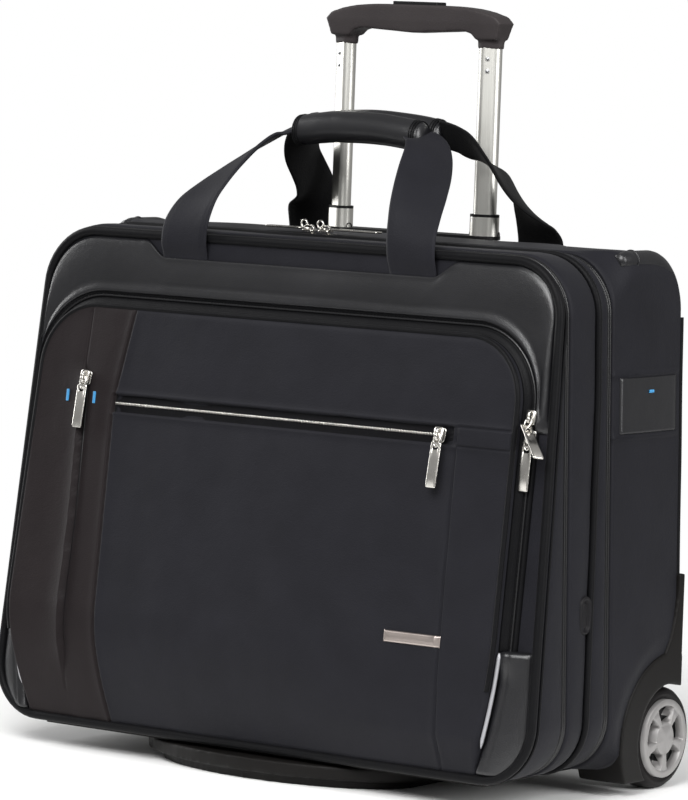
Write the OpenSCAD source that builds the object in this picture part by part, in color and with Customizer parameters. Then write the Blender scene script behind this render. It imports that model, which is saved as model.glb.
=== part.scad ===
// Rolling laptop case: a soft wheeled case with a two-stage trolley handle.
// +Z is up and the floor is z = 0. +X is the right side seen from the front.
// Inside the modules y = 0 is the front panel's bottom edge; in_place() centres
// the whole case on the origin at the end.

/* [Case] */
// Half of the case's width at the bottom of the front panel
half_w_low = 227.5; // [224:0.5:231]
// Half of the case's width at the top
half_w_top = 218; // [214:0.5:222]
// Height of the case's underside above the floor
base_z = 20.2; // [19.5:0.1:21]
// Top of the front panel
front_top_z = 363.7; // [358:0.5:366]
// Top of the main compartment
case_top_z = 368; // [366:0.5:372]
// How far the front panel's top edge lies behind its bottom edge
panel_lean = 37.8; // [34:0.2:40]
// Back face of the main compartment
back_y = 183; // [181:0.5:186]
// Thickness of the padded fabric walls
wall = 3; // [2.5:0.5:3.5]

/* [Front pocket] */
// Left edge of the raised pocket
pocket_left = -208; // [-212:0.5:-200]
// Right edge of the raised pocket
pocket_right = 199; // [195:0.5:201]
// Height of the pocket along the leaning panel
pocket_h = 294; // [285:1:300]
// How far the pocket stands out at its fullest
pocket_bulge = 25; // [20:0.5:27]
// How far the pocket stands out at its top
pocket_top_bulge = 10; // [8:0.5:12]

/* [Trolley] */
// Sideways distance of each trolley tube from the middle
tube_x = 62; // [60:0.5:64]
// Front-to-back place of the trolley tubes
tube_y = 169; // [168:0.5:170]
// Turn of each tube's oval about its own axis
tube_turn = 20; // [15:1:25]
// Inner tube's oval, long and short way
inner_oval = [16.4, 10.4];
// Middle tube's oval
middle_oval = [20.8, 13.6];
// Fixed outer tube's oval
outer_oval = [24.4, 17.2];

/* [Wheels] */
// Wheel centre, front to back
wheel_y = 174; // [172:0.5:176]
// Radius of the tyre, also the height of the axle
tyre_r = 35; // [33:0.5:36]
// Radius of the hub cap
hub_r = 27; // [25:0.5:28]
// Radius of the axle bolt
axle_r = 4; // [3:0.5:5]
// Outer radius of the wheel housing's arch
arch_r = 60; // [56:1:62]

/* [Handles] */
// Width of the handle webbing
web_w = 38; // [34:1:40]
// Radius of the padded carry grips
grip_r = 11; // [10:0.5:11.5]
// Half length of the padded carry grips
grip_half = 57; // [54:1:60]

/* [Hidden] */
$fn = 48;

nylon = "#2c2b2e";
leather = "#47464a";
plastic = "#35302e";
metal = "#c9c6c0";
tube_metal = "#b4b3ae";

depth_mid = 96.5;
case_r = 40;
low_r = 38;
lean_angle = atan(panel_lean / (front_top_z - base_z));
panel_h = (front_top_z - base_z) / cos(lean_angle);
zip1_y = 40.5;
zip2_y = 92;
tray_top_z = 18.5;
board_y = 154;
collar_z = 383.6;
web_t = 2.4;
zip_gap = 0.3;
zip_top = 366;
guard_r = 6.5;
yoke_dip = 4;
main_right_x = -20;
main_left_x = -34;
pull_long = 36;
main_pull_long = 46;

module in_place() {
    translate([0, -depth_mid, 0]) children();
}

// Mirrors its children to the left side as well
module both_sides() {
    children();
    mirror([1, 0, 0]) children();
}

function arc(cx, cz, r, from, to, steps = 8) =
    [for (i = [0 : steps]) let (a = from + (to - from) * i / steps)
        [cx + r * cos(a), cz + r * sin(a)]];

// The case's outline seen from the front, a little narrower at the top
function outline(inset = 0, top = case_top_z, low = base_z, r = case_r, rl = low_r) =
    let (a = half_w_low - inset, b = half_w_top - inset, t = top - inset, l = low + inset)
    concat(
        arc(a - rl, l + rl, rl, -90, 0), arc(b - r, t - r, r, 0, 90),
        arc(r - b, t - r, r, 90, 180), arc(rl - a, l + rl, rl, 180, 270));

// A plate with a front-view outline, from y0 to y1
module plate(y0, y1, points) {
    translate([0, y1, 0]) rotate([90, 0, 0]) linear_extrude(y1 - y0) polygon(points);
}

// A bar with a side-view outline of (y, z) points, from x0 to x1
module bar(x0, x1, points) {
    translate([x0, 0, 0]) rotate([90, 0, 90]) linear_extrude(x1 - x0) polygon(points);
}

// Stands its children on the leaning front panel: local z runs up the panel
module on_panel() {
    translate([0, 0, base_z]) rotate([-lean_angle, 0, 0]) children();
}

function panel_outline(inset) =
    outline(inset, top = panel_h, low = 0, r = case_r - inset, rl = low_r - inset);

// ---- Main compartment -------------------------------------------------------

function rear_profile(inset, r) =
    let (b = back_y - inset, t = case_top_z - inset, l = tray_top_z + inset)
    concat([[zip2_y, l], [b - 6, l], [b, l + 6]], arc(b - r, t - r, r, 0, 90), [[zip2_y, t]]);

module rear_solid(inset, y0) {
    intersection() {
        union() {
            bar(-232, 232, rear_profile(inset, case_r - inset));
            bar(-125, 125, rear_profile(inset, 14 - inset));
        }
        union() {
            plate(y0, 112, outline(inset, low = tray_top_z, r = case_r - inset));
            plate(108, back_y + 1, outline(inset, low = tray_top_z, r = 16 - inset));
        }
    }
}

// The room each wheel housing takes in the main compartment's corner
module housing_zone() {
    both_sides() {
        translate([189, wheel_y, tyre_r]) rotate([0, 90, 0]) cylinder(r = arch_r, h = 44, $fn = 96);
        translate([189, wheel_y - 8, 0]) cube([44, 30, tyre_r + arch_r - 2]);
        bar(205, 232, fin_points());
    }
}

// Side view of the fin that rises from the housing along the case's back edge
function fin_points() =
    [[160, 80], [165, 93], [172, 104], [177, 118], [180, 132], [180.5, 148], [190, 148], [190, 80]];

// A flat-sided oval, long way along x
module oval(size) {
    end_r = size[1] / 2;
    side = size[0] / 2 - end_r;
    square([2 * side, size[1]], center = true);
    translate([side, 0]) circle(end_r);
    translate([-side, 0]) circle(end_r);
}

// A vertical oval bar at the right-hand tube's place
module tube_bar(size, z0, z1) {
    translate([tube_x, tube_y, z0]) rotate([0, 0, tube_turn]) linear_extrude(z1 - z0) oval(size);
}

module tube(size, hole, z0, z1) {
    difference() {
        tube_bar(size, z0, z1);
        tube_bar(hole, z0 - 1, z1 + 1);
    }
}

module rear_shell() {
    color(nylon) in_place() difference() {
        rear_solid(0, zip2_y + 3.2);
        rear_solid(wall, zip2_y);
        translate([-232, 60, tray_top_z + wall]) cube([464, zip2_y + 3.2 - 60, 400]);
        housing_zone();
        both_sides() tube_bar(outer_oval + [1, 1], 350, 380);
        guard_solids();
    }
}

module back_board() {
    color("#1c1c1e") in_place() difference() {
        plate(board_y, board_y + 2.5, outline(12, top = 360, low = 16, r = 30, rl = 4));
        both_sides() translate([185, board_y - 1, 0]) cube([60, 5, tyre_r + arch_r + 3]);
    }
}

module base_tray() {
    color(plastic) in_place() difference() {
        translate([-186, 8, 15.5]) cube([372, 164, 3]);
        screw_places() translate([0, 0, 10]) cylinder(r = 2.2, h = 12, $fn = 24);
    }
}

// A half-round plan: straight at the back, bowed out at the front
function d_shape(half, front, back) =
    let (side = back - 50)
    concat([[half, back]],
        [for (a = [0 : 10 : 180]) [half * cos(a), side - (side - front) * sin(a)]],
        [[-half, back]]);

module skid_foot() {
    color(plastic) in_place() difference() {
        union() {
            linear_extrude(6) polygon(d_shape(104, -7, 98));
            translate([0, 0, 6]) linear_extrude(9.5) polygon(d_shape(120, -12, 104));
        }
        screw_places() translate([0, 0, -1]) cylinder(r = 4, h = 8, $fn = 24);
        screw_places() translate([0, 0, -1]) cylinder(r = 2.2, h = 20, $fn = 24);
    }
}

module screw_places() {
    for (x = [-70, 0, 70]) translate([x, 50, 0]) children();
}

module base_screws() {
    color("silver") in_place() screw_places() {
        translate([0, 0, 4.5]) cylinder(r = 3.8, h = 2.5, $fn = 24);
        translate([0, 0, 7]) cylinder(r = 2.1, h = 11, $fn = 24);
    }
}

// Moulded housing of the right wheel: an arch closed on the inner side
module housing() {
    difference() {
        intersection() {
            union() {
                translate([190, wheel_y, tyre_r]) rotate([0, 90, 0])
                    cylinder(r = arch_r, h = 37, $fn = 96);
                translate([190, wheel_y - 8, 40]) cube([37, 22, tyre_r + arch_r - 42]);
                bar(205, 227, fin_points());
            }
            bar(180, 232, [[100, 9], [wheel_y, 9], [wheel_y, 66.5], [188, 66.5],
                [187, 150], [100, 150]]);
        }
        translate([196, wheel_y, tyre_r]) rotate([0, 90, 0]) cylinder(r = 38, h = 50, $fn = 96);
        translate([180, wheel_y, tyre_r]) rotate([0, 90, 0]) difference() {
            cylinder(r = arch_r - 3, h = 44, $fn = 96);
            translate([0, 0, -1]) cylinder(r = 41, h = 50, $fn = 96);
        }
        translate([180, wheel_y, tyre_r]) rotate([0, 90, 0]) cylinder(r = axle_r, h = 30);
    }
}

module wheel_housing_right() {
    color(plastic) in_place() housing();
}

module wheel_housing_left() {
    color(plastic) in_place() mirror([1, 0, 0]) housing();
}

module axles() {
    color("silver") in_place() both_sides() translate([0, wheel_y, tyre_r]) rotate([0, 90, 0]) {
        translate([0, 0, 186]) cylinder(r = 5.5, h = 4);
        translate([0, 0, 190]) cylinder(r = axle_r, h = 28);
    }
}

// A padded roll over each upper back corner
module guard_solids() {
    both_sides() translate([211.5, 143, 328]) {
        rotate([90, 0, 90]) rotate_extrude(angle = 90) translate([35, 0]) circle(guard_r);
        translate([0, 35, -24]) cylinder(r = guard_r, h = 24);
        translate([0, 0, 35]) rotate([90, 0, 0]) cylinder(r = guard_r, h = 34);
    }
}

module corner_guards() {
    color(leather) in_place() guard_solids();
}

module side_bands() {
    color(leather) in_place() both_sides() {
        bar(222.5, 224, [[104.5, 247], [175, 247], [175, 285], [104.5, 285]]);
    }
}

// One half of a zip: a thin ring round the case between y0 and y1
module zip_ring(y0, y1, top) {
    difference() {
        plate(y0, y1, outline(0, top = top));
        plate(y0 - 1, y1 + 1, outline(6, top = top, r = case_r - 6, rl = low_r - 6));
        translate([-190, y0 - 1, 0]) cube([380, y1 - y0 + 2, 40]);
    }
}

module main_zip_rear() {
    color("#18181a") in_place() zip_ring(zip2_y, zip2_y + 3.2, zip_top);
}

// ---- Trolley ------------------------------------------------------------------

module outer_tubes() {
    color(tube_metal) in_place() both_sides() tube(outer_oval, middle_oval + [0.6, 0.6], 34.5, 363);
}

module tube_base() {
    color(plastic) in_place() translate([-90, board_y + 4, 24]) cube([180, 18, 10.5]);
}

module trolley_bezel() {
    color(plastic) in_place() difference() {
        translate([0, tube_y - 1, case_top_z]) linear_extrude(2.5) {
            square([124, 24], center = true);
            translate([62, 0]) circle(12);
            translate([-62, 0]) circle(12);
        }
        both_sides() tube_bar(middle_oval + [1, 1], 360, 380);
    }
}

module middle_tube() {
    tube(middle_oval, inner_oval + [0.6, 0.6], 50.5, collar_z);
}

module middle_tube_right() {
    color(tube_metal) in_place() middle_tube();
}

module middle_tube_left() {
    color(tube_metal) in_place() mirror([1, 0, 0]) middle_tube();
}

module middle_collars() {
    color("#202022") in_place() both_sides()
        tube(middle_oval, inner_oval + [0.6, 0.6], collar_z, 385.5);
}

module inner_tube() {
    tube(inner_oval, inner_oval - [2.4, 2.4], 190.5, 515.5);
}

module inner_tube_right() {
    color(tube_metal) in_place() inner_tube();
}

module inner_tube_left() {
    color(tube_metal) in_place() mirror([1, 0, 0]) inner_tube();
}

module lock_feet() {
    color("#202022") in_place() both_sides() difference() {
        tube_bar(inner_oval - [2.4, 2.4], 190.5, 214);
        translate([tube_x, tube_y, 180]) cylinder(r = 2.2, h = 50, $fn = 24);
    }
}

// Front view of the grip above its two legs; its underside bows down in the middle
function grip_outline() = concat(
    [[-54, 506.5], [-50.5, 510.5], [-44, 512.2]],
    [for (x = [-30 : 15 : 30]) [x, 509.8 + abs(x) / 18]],
    [[44, 512.2], [50.5, 510.5], [54, 506.5], [71, 506.5], [72.3, 511], [75, 518.5]],
    [for (x = [70 : -10 : -70]) [x, 529.6 - 6.5 * pow(x / 70, 4)]],
    [[-75, 518.5], [-72.3, 511], [-71, 506.5]]);

module trolley_grip() {
    color("#3b3b3b") in_place() difference() {
        union() {
            plate(tube_y - 10, tube_y + 10, grip_outline());
            both_sides() tube_bar(inner_oval + [3, 3], 500.5, 514);
        }
        both_sides() tube_bar(inner_oval, 490, 516);
        translate([-67, tube_y - 4, 515]) cube([134, 8, 6]);
        translate([-19.4, tube_y - 6.4, 514.5]) cube([38.8, 12.8, 30]);
    }
}

module release_button() {
    color("#4a4a4c") in_place() translate([-19, tube_y - 6, 520]) cube([38, 12, 11.7]);
}

module push_rods() {
    color("silver") in_place() {
        translate([-65, tube_y - 3, 517.9]) cube([130, 6, 2.1]);
        both_sides() translate([tube_x, tube_y, 196]) cylinder(r = 1.6, h = 321.9, $fn = 24);
    }
}

// ---- Laptop section -------------------------------------------------------------

module laptop_shell() {
    color(nylon) in_place() difference() {
        plate(zip1_y + 2.5, zip2_y - 3.5, outline(0, top = zip_top));
        plate(0, zip2_y - 6, outline(wall, top = zip_top, r = case_r - wall, rl = low_r - wall));
        plate(60, 100, outline(30, top = zip_top, r = 20, rl = 20));
        port_solid();
    }
}

module divider_pad() {
    color("#1f1f22") in_place()
        plate(zip2_y - 12, zip2_y - 6, outline(wall + 0.5, top = zip_top, r = case_r - 4, rl = low_r - 4));
}

module port_solid() {
    translate([218, 63, 129]) rotate([0, 90, 0]) linear_extrude(10) oval([25, 13]);
}

module usb_port() {
    color("#232325") in_place() difference() {
        port_solid();
        translate([214, 60.5, 122]) cube([30, 5, 14]);
    }
}

module main_zip_front() {
    color("#18181a") in_place() zip_ring(zip2_y - 3.5, zip2_y - zip_gap, zip_top);
}

module laptop_zip_rear() {
    color("#18181a") in_place() zip_ring(zip1_y + zip_gap, zip1_y + 2.5, zip_top);
}

// ---- Front section ----------------------------------------------------------------

function panel_y(z) = (z - base_z) * tan(lean_angle);

module piping_ring() {
    on_panel() difference() {
        plate(-3, 2.5, panel_outline(-1.5));
        plate(-4, 4, panel_outline(4));
    }
}

module front_shell() {
    color(nylon) in_place() difference() {
        intersection() {
            bar(-232, 232, [[0, base_z], [zip1_y, base_z], [zip1_y, front_top_z],
                [panel_y(front_top_z), front_top_z]]);
            plate(-5, zip1_y, outline(0, top = front_top_z));
        }
        intersection() {
            bar(-232, 232, [[wall, base_z + wall], [50, base_z + wall], [50, 335],
                [panel_y(335) + wall, 335]]);
            plate(-5, 60, outline(wall + 4, top = front_top_z, r = case_r - wall, rl = low_r - wall));
        }
        piping_ring();
    }
}

module front_piping() {
    color("#1d1d1f") in_place() piping_ring();
}

function pocket_outline(grow) =
    let (l = pocket_left - grow, r = pocket_right + grow, t = pocket_h + grow, rt = 45 + grow)
    concat(arc(r - 30, 36, 30, -90, 0), arc(r - rt, t - rt, rt, 0, 90),
        arc(l + rt, t - rt, rt, 90, 180), arc(l + 30, 36, 30, 180, 270));

// How far the pocket's face stands out of the panel at a height along it
function bulge(s) = let (t = s / pocket_h)
    t < 0.28 ? pocket_bulge * sin(90 * t / 0.28)
             : pocket_bulge - (pocket_bulge - pocket_top_bulge) * (t - 0.28) / 0.72;

face_slope = atan((pocket_bulge - pocket_top_bulge) / (0.72 * pocket_h));

module pocket_solid(inset) {
    intersection() {
        bar(-232, 232, concat([for (s = [4 : 8 : 300]) [inset - bulge(s), s]], [[10, 300], [10, 4]]));
        plate(-40, 0, pocket_outline(-inset));
    }
}

// Stands its children on the pocket's flat upper face at a height along the panel
module on_pocket(s) {
    on_panel() translate([0, -bulge(s), s]) rotate([-face_slope, 0, 0]) children();
}

module cross_zip_solid() {
    on_pocket(225) translate([-137, -0.6, -6]) cube([287, 2, 12]);
}

module vertical_zip_solid() {
    on_pocket(188) translate([-166, -0.6, -98]) cube([6, 2, 200]);
}

module badge_solid() {
    on_pocket(88.5) translate([115, -1, -4]) cube([42.5, 2, 8]);
}

module organizer_pocket() {
    color(nylon) in_place() difference() {
        on_panel() difference() {
            pocket_solid(0);
            translate([0, 0.01, 0]) pocket_solid(2.5);
        }
        cross_zip_solid();
        vertical_zip_solid();
        badge_solid();
    }
}

module cross_zip() {
    color("#18181a") in_place() cross_zip_solid();
}

module vertical_zip() {
    color("#18181a") in_place() difference() {
        vertical_zip_solid();
        cross_zip_solid();
    }
}

module badge() {
    color("#b5aaa5") in_place() badge_solid();
}

module organizer_zip() {
    color("#18181a") in_place() on_panel() difference() {
        intersection() {
            plate(-3, 0, pocket_outline(10));
            plate(-5, 5, panel_outline(4));
            translate([-240, -10, 95]) cube([480, 20, 300]);
        }
        plate(-10, 10, pocket_outline(0));
    }
}

// The yoke's front view; its top edge dips between the feet of the handle
function yoke_points() = concat(
    [[-230, 272], [230, 238], [230, 350], [132, 350]],
    [for (i = [0 : 8]) [132 - 2 * i, 342.5 + yoke_dip * cos(22.5 * i)]],
    [for (i = [0 : 8]) [-116 - 2 * i, 342.5 - yoke_dip * cos(22.5 * i)]],
    [[-132, 350], [-230, 350]]);

module yoke() {
    color(leather) in_place() on_panel() difference() {
        intersection() {
            plate(-1.5, 0, yoke_points());
            plate(-2, 0, panel_outline(4));
        }
        plate(-10, 10, pocket_outline(10));
    }
}

module corner_patches() {
    color(leather) in_place() on_panel() difference() {
        intersection() {
            plate(-1.5, 0, panel_outline(4));
            union() {
                translate([170, -10, 0]) cube([60, 20, 88]);
                translate([-230, -10, 0]) cube([60, 20, 88]);
            }
        }
        plate(-10, 10, pocket_outline(0));
    }
}

module reflective_piping() {
    color("#a9a9a6") in_place() on_panel() {
        translate([pocket_right, -4, 36]) cube([2, 2.5, 58]);
        translate([pocket_left - 2, -4, 36]) cube([2, 2.5, 58]);
    }
}

// ---- Carry handles -----------------------------------------------------------------

function unit(v) = v / norm(v);

// A flat strap through the points; each row is [x, y, z, twist, width], and the
// twist turns the strap's width about the direction it runs in
function strap_ring(rows, i) =
    let (p = rows[i], q0 = rows[max(i - 1, 0)], q1 = rows[min(i + 1, len(rows) - 1)],
        run = unit([for (k = [0 : 2]) q1[k] - q0[k]]),
        side = unit([1, 0, 0] - run * run[0]),
        flat = cross(run, side),
        w = side * cos(p[3]) + flat * sin(p[3]),
        n = cross(run, w),
        c = [p[0], p[1], p[2]])
    [for (k = [[-1, -1], [1, -1], [1, 1], [-1, 1]])
        c + w * k[0] * p[4] / 2 + n * k[1] * web_t / 2];

// Both broad faces are split along the same diagonal, so a twist keeps its thickness
module strap(rows) {
    count = len(rows);
    points = [for (i = [0 : count - 1]) each strap_ring(rows, i)];
    sides = [for (i = [0 : count - 2], k = [0 : 3])
        let (a = 4 * i + k, b = 4 * i + (k + 1) % 4)
        each (k == 2 ? [[a, b, a + 4], [b, b + 4, a + 4]] : [[a, b, b + 4], [a, b + 4, a + 4]])];
    polyhedron(points, concat([[3, 2, 1, 0]], sides,
        [[4 * count - 4, 4 * count - 3, 4 * count - 2, 4 * count - 1]]));
}

front_strap = [
    [97, 29.5, 352, 0, web_w], [96.5, 30.5, 362, 0, web_w], [95.5, 32.5, 374, 0, web_w],
    [93, 39, 388, 8, web_w], [87, 52, 402, 18, web_w], [80, 68, 416, 28, 37],
    [72, 83, 428, 48, 33], [64, 92.5, 436, 72, 27], [57, 96.5, 439.5, 88, 20]
];
rear_strap = [
    [99, 184.6, 361, 0, web_w], [99, 183.5, 370, -3, web_w], [99.5, 176, 381, -14, web_w],
    [99.5, 163, 392, -34, web_w], [98, 150, 403, -50, 37], [93, 138, 414, -48, 35],
    [84, 128, 427, -34, 32], [70, 123, 437, -18, 26], [57, 122, 441, -6, 20]
];
// The left leg of the rear handle hangs closer to the tube, turned on edge
rear_strap_left = [
    [99, 184.6, 361, 0, web_w], [98, 183.5, 372, -12, web_w], [94, 179, 385, -40, 36],
    [89, 172, 396, -64, 34], [85, 162, 406, -78, 33], [82, 151, 416, -78, 32],
    [77, 140, 426, -58, 30], [67, 130, 435, -30, 26], [57, 122, 441, -8, 20]
];

module front_webbing() {
    color("#29292b") in_place() {
        strap(front_strap);
        mirror([1, 0, 0]) strap(front_strap);
    }
}

module rear_webbing() {
    color("#1a1a1b") in_place() {
        strap(rear_strap);
        mirror([1, 0, 0]) strap(rear_strap_left);
    }
}

module grip_bar(y, z) {
    translate([-grip_half, y, z]) rotate([0, 90, 0]) cylinder(r = grip_r, h = 2 * grip_half);
}

module front_grip() {
    color(leather) in_place() grip_bar(98.5, 441.5);
}

module rear_grip() {
    color(leather) in_place() grip_bar(122, 442.5);
}

// ---- Wheels ------------------------------------------------------------------------

module at_wheel() {
    translate([0, wheel_y, tyre_r]) rotate([0, 90, 0]) children();
}

module tyre() {
    at_wheel() rotate_extrude($fn = 96) polygon([[hub_r - 2, 200], [tyre_r - 4, 200],
        [tyre_r - 1, 201.5], [tyre_r, 205], [tyre_r, 217], [tyre_r - 1.5, 220],
        [tyre_r - 5, 221.5], [hub_r - 2, 221.5]]);
}

module rim() {
    at_wheel() difference() {
        rotate_extrude($fn = 96) polygon([[0, 219], [axle_r + 0.05, 219], [axle_r + 0.05, 198],
            [9, 198], [9, 203], [hub_r - 2, 203], [hub_r - 2, 221.5], [hub_r, 221.5],
            [hub_r, 223], [hub_r - 2, 224.2], [0, 225]]);
        for (i = [0 : 4]) rotate([0, 0, 72 * i]) translate([-21, -4.5, 217]) cube([9, 9, 12]);
    }
}

module tyre_right() {
    color("#2b2827") in_place() tyre();
}

module tyre_left() {
    color("#2b2827") in_place() mirror([1, 0, 0]) tyre();
}

module rim_right() {
    color("#9a9797") in_place() rim();
}

module rim_left() {
    color("#9a9797") in_place() mirror([1, 0, 0]) rim();
}

// ---- Zip sliders and pulls --------------------------------------------------------

// A slider with its bridge, lying on its zip: local z along the zip, local -y outward
module slider() {
    translate([-4, -2.6, -5]) cube([8, 2, 10]);
    difference() {
        translate([-1.5, -5.6, -4.5]) cube([3, 3, 9]);
        translate([-3, -4.6, -2.5]) cube([6, 2, 6]);
    }
}

// A flat pull hanging from the bridge; its pin turns in the bridge's slot, and its tab
// can hang askew and edge on from the loop
module pull(long = pull_long, askew = 0, edge_on = 0) {
    translate([-3, -4.2, -1.2]) cube([6, 1.2, 1.2]);
    translate([-4, -4.2, -2]) difference() {
        translate([0, 0, -6]) cube([8, 1.2, 8]);
        translate([2, -1, -4.5]) cube([4, 4, 5.3]);
    }
    translate([0, -3.6, -7.2]) rotate([0, askew, 0]) rotate([0, 0, edge_on])
        translate([-4, -0.6, 7.2 - long]) cube([8, 1.2, long - 7.2]);
}

module on_top(x) {
    translate([x, zip2_y + 1.5, 368.2]) rotate([-90, 0, 0]) children();
}

module main_slider_right() {
    color(metal) in_place() on_top(main_right_x) rotate([0, 90, 0]) slider();
}

module main_slider_left() {
    color(metal) in_place() on_top(main_left_x) rotate([0, 90, 0]) slider();
}

module main_pull_right() {
    color(metal) in_place() on_top(main_right_x) rotate([0, -90, 0]) pull(main_pull_long);
}

module main_pull_left() {
    color(metal) in_place() on_top(main_left_x) rotate([0, 90, 0]) pull();
}

module at_pocket_zip(s) {
    on_panel() translate([pocket_right + 6, -3, s]) children();
}

module pocket_slider_upper() {
    color(metal) in_place() at_pocket_zip(242) slider();
}

// The upper pull rests on the lower slider, its tab turned aside
module pocket_pull_upper() {
    color(metal) in_place() at_pocket_zip(242) translate([0, -3.6, -0.6]) rotate([-26, 0, 0])
        translate([0, 3.6, 0.6]) pull(askew = -40, edge_on = 55);
}

module pocket_slider_lower() {
    color(metal) in_place() at_pocket_zip(229) slider();
}

module pocket_pull_lower() {
    color(metal) in_place() at_pocket_zip(229) pull();
}

module cross_slider() {
    color(metal) in_place() on_pocket(225) translate([142, -0.9, 0]) slider();
}

module cross_pull() {
    color(metal) in_place() on_pocket(225) translate([142, -0.9, 0]) pull();
}

module vertical_slider() {
    color(metal) in_place() on_pocket(241) translate([-163, -0.9, 0]) slider();
}

module vertical_pull() {
    color(metal) in_place() on_pocket(241) translate([-163, -0.9, 0]) pull();
}

rear_shell();
back_board();
base_tray();
skid_foot();
wheel_housing_left();
wheel_housing_right();
axles();
base_screws();
outer_tubes();
tube_base();
trolley_bezel();
corner_guards();
side_bands();
main_zip_rear();
laptop_shell();
divider_pad();
usb_port();
main_zip_front();
laptop_zip_rear();
front_shell();
organizer_pocket();
yoke();
corner_patches();
reflective_piping();
badge();
organizer_zip();
cross_zip();
vertical_zip();
front_piping();
middle_tube_left();
middle_tube_right();
middle_collars();
inner_tube_left();
inner_tube_right();
lock_feet();
trolley_grip();
release_button();
push_rods();
front_webbing();
front_grip();
rear_webbing();
rear_grip();
tyre_left();
rim_left();
tyre_right();
rim_right();
main_slider_left();
main_pull_left();
main_slider_right();
main_pull_right();
pocket_slider_upper();
pocket_pull_upper();
pocket_slider_lower();
pocket_pull_lower();
cross_slider();
cross_pull();
vertical_slider();
vertical_pull();
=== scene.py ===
"""Rolling laptop case: the visible shells, leather, webbing, zips and castings.

Every mesh is worked out in case millimetres, with y = 0 at the front panel's
bottom edge and z = 0 on the floor, and moves to the frame's metres in skin().
"""
import math

import bmesh
import bpy
import numpy as np
from mathutils import Matrix, Vector, noise


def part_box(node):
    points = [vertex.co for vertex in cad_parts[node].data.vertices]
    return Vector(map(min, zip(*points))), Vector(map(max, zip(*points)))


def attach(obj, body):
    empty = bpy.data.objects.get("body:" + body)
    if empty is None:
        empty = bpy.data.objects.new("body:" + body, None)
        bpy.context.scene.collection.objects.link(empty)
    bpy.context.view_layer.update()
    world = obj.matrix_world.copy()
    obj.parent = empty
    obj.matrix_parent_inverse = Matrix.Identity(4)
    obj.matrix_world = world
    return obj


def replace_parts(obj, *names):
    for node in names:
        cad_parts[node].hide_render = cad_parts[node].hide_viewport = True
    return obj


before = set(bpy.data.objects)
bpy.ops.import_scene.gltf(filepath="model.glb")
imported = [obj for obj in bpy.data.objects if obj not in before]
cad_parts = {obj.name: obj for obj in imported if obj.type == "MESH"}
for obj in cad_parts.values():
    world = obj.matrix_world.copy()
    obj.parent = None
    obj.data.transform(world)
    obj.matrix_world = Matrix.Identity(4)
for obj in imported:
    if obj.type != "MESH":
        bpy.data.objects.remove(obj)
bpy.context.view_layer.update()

# ---- Camera, floor and light ---------------------------------------------------
# A long lens a little above the case's top, seen from the right of the front.
# The floor and the background are plain white; the light is three large softboxes.
view_turn, view_drop, view_roll = (math.radians(a) for a in (35.88, 4.61, 2.03))
view_target = Vector((0.0491, -0.0693, 0.2608))
view_distance = 3.2
forward = Vector((-math.sin(view_turn) * math.cos(view_drop),
                  math.cos(view_turn) * math.cos(view_drop), -math.sin(view_drop)))
level = Vector((math.cos(view_turn), math.sin(view_turn), 0))
right = level * math.cos(view_roll) + level.cross(forward) * math.sin(view_roll)
camera = bpy.data.objects.new("camera", bpy.data.cameras.new("camera"))
bpy.context.scene.collection.objects.link(camera)
camera.data.lens = 212.7
turn = Matrix((right, right.cross(forward), -forward)).transposed()
camera.matrix_world = Matrix.Translation(view_target - forward * view_distance) @ turn.to_4x4()
bpy.context.scene.camera = camera
bpy.context.scene.view_settings.view_transform = "Standard"


def linear(hex_code):
    """The linear colour of an sRGB hex value."""
    parts = [int(hex_code[i:i + 2], 16) / 255 for i in (1, 3, 5)]
    return [p / 12.92 if p <= 0.04045 else ((p + 0.055) / 1.055) ** 2.4 for p in parts] + [1]


def add(material, kind, inputs=None, **settings):
    """Adds a node with its settings; an input is a value or another node's output."""
    node = material.node_tree.nodes.new(kind)
    for key, value in settings.items():
        setattr(node, key, value)
    for key, value in (inputs or {}).items():
        if isinstance(value, bpy.types.NodeSocket):
            material.node_tree.links.new(value, node.inputs[key])
        else:
            node.inputs[key].default_value = value
    return node


def new_material(name):
    """An empty node material and its output node."""
    material = bpy.data.materials.new(name)
    material.use_nodes = True
    material.node_tree.nodes.clear()
    return material, add(material, "ShaderNodeOutputMaterial")


def finish_material(material, output, shader):
    """Links the shader to the output."""
    material.node_tree.links.new(shader.outputs[0], output.inputs["Surface"])
    return material


def softbox(name, place, size, watts):
    """A soft rectangular lamp, aimed at the middle of the case."""
    lamp = bpy.data.lights.new(name, "AREA")
    lamp.shape = "RECTANGLE"
    lamp.size, lamp.size_y = size
    lamp.energy = watts
    holder = bpy.data.objects.new(name, lamp)
    bpy.context.scene.collection.objects.link(holder)
    holder.location = place
    aim = Vector((0, 0, 0.25)) - Vector(place)
    holder.rotation_mode = "QUATERNION"
    holder.rotation_quaternion = aim.to_track_quat("-Z", "Y")


softbox("top_softbox", (0.4, -1.5, 1.5), (1.3, 1.1), 46)
softbox("left_softbox", (-2.0, -0.3, 0.9), (0.6, 1.5), 24)
softbox("right_softbox", (2.1, -0.1, 1.1), (0.6, 1.5), 36)

# The room behind the softboxes is dim, and the backdrop itself stays pure white.
world = bpy.data.worlds.new("studio")
world.use_nodes = True
backdrop = world.node_tree.nodes["Background"]
backdrop.inputs["Color"].default_value = (1, 1, 1, 1)
seen = add(world, "ShaderNodeLightPath")
room = add(world, "ShaderNodeMapRange", {"Value": seen.outputs["Is Camera Ray"], "To Min": 0.3})
world.node_tree.links.new(room.outputs["Result"], backdrop.inputs["Strength"])
bpy.context.scene.world = world

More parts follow.
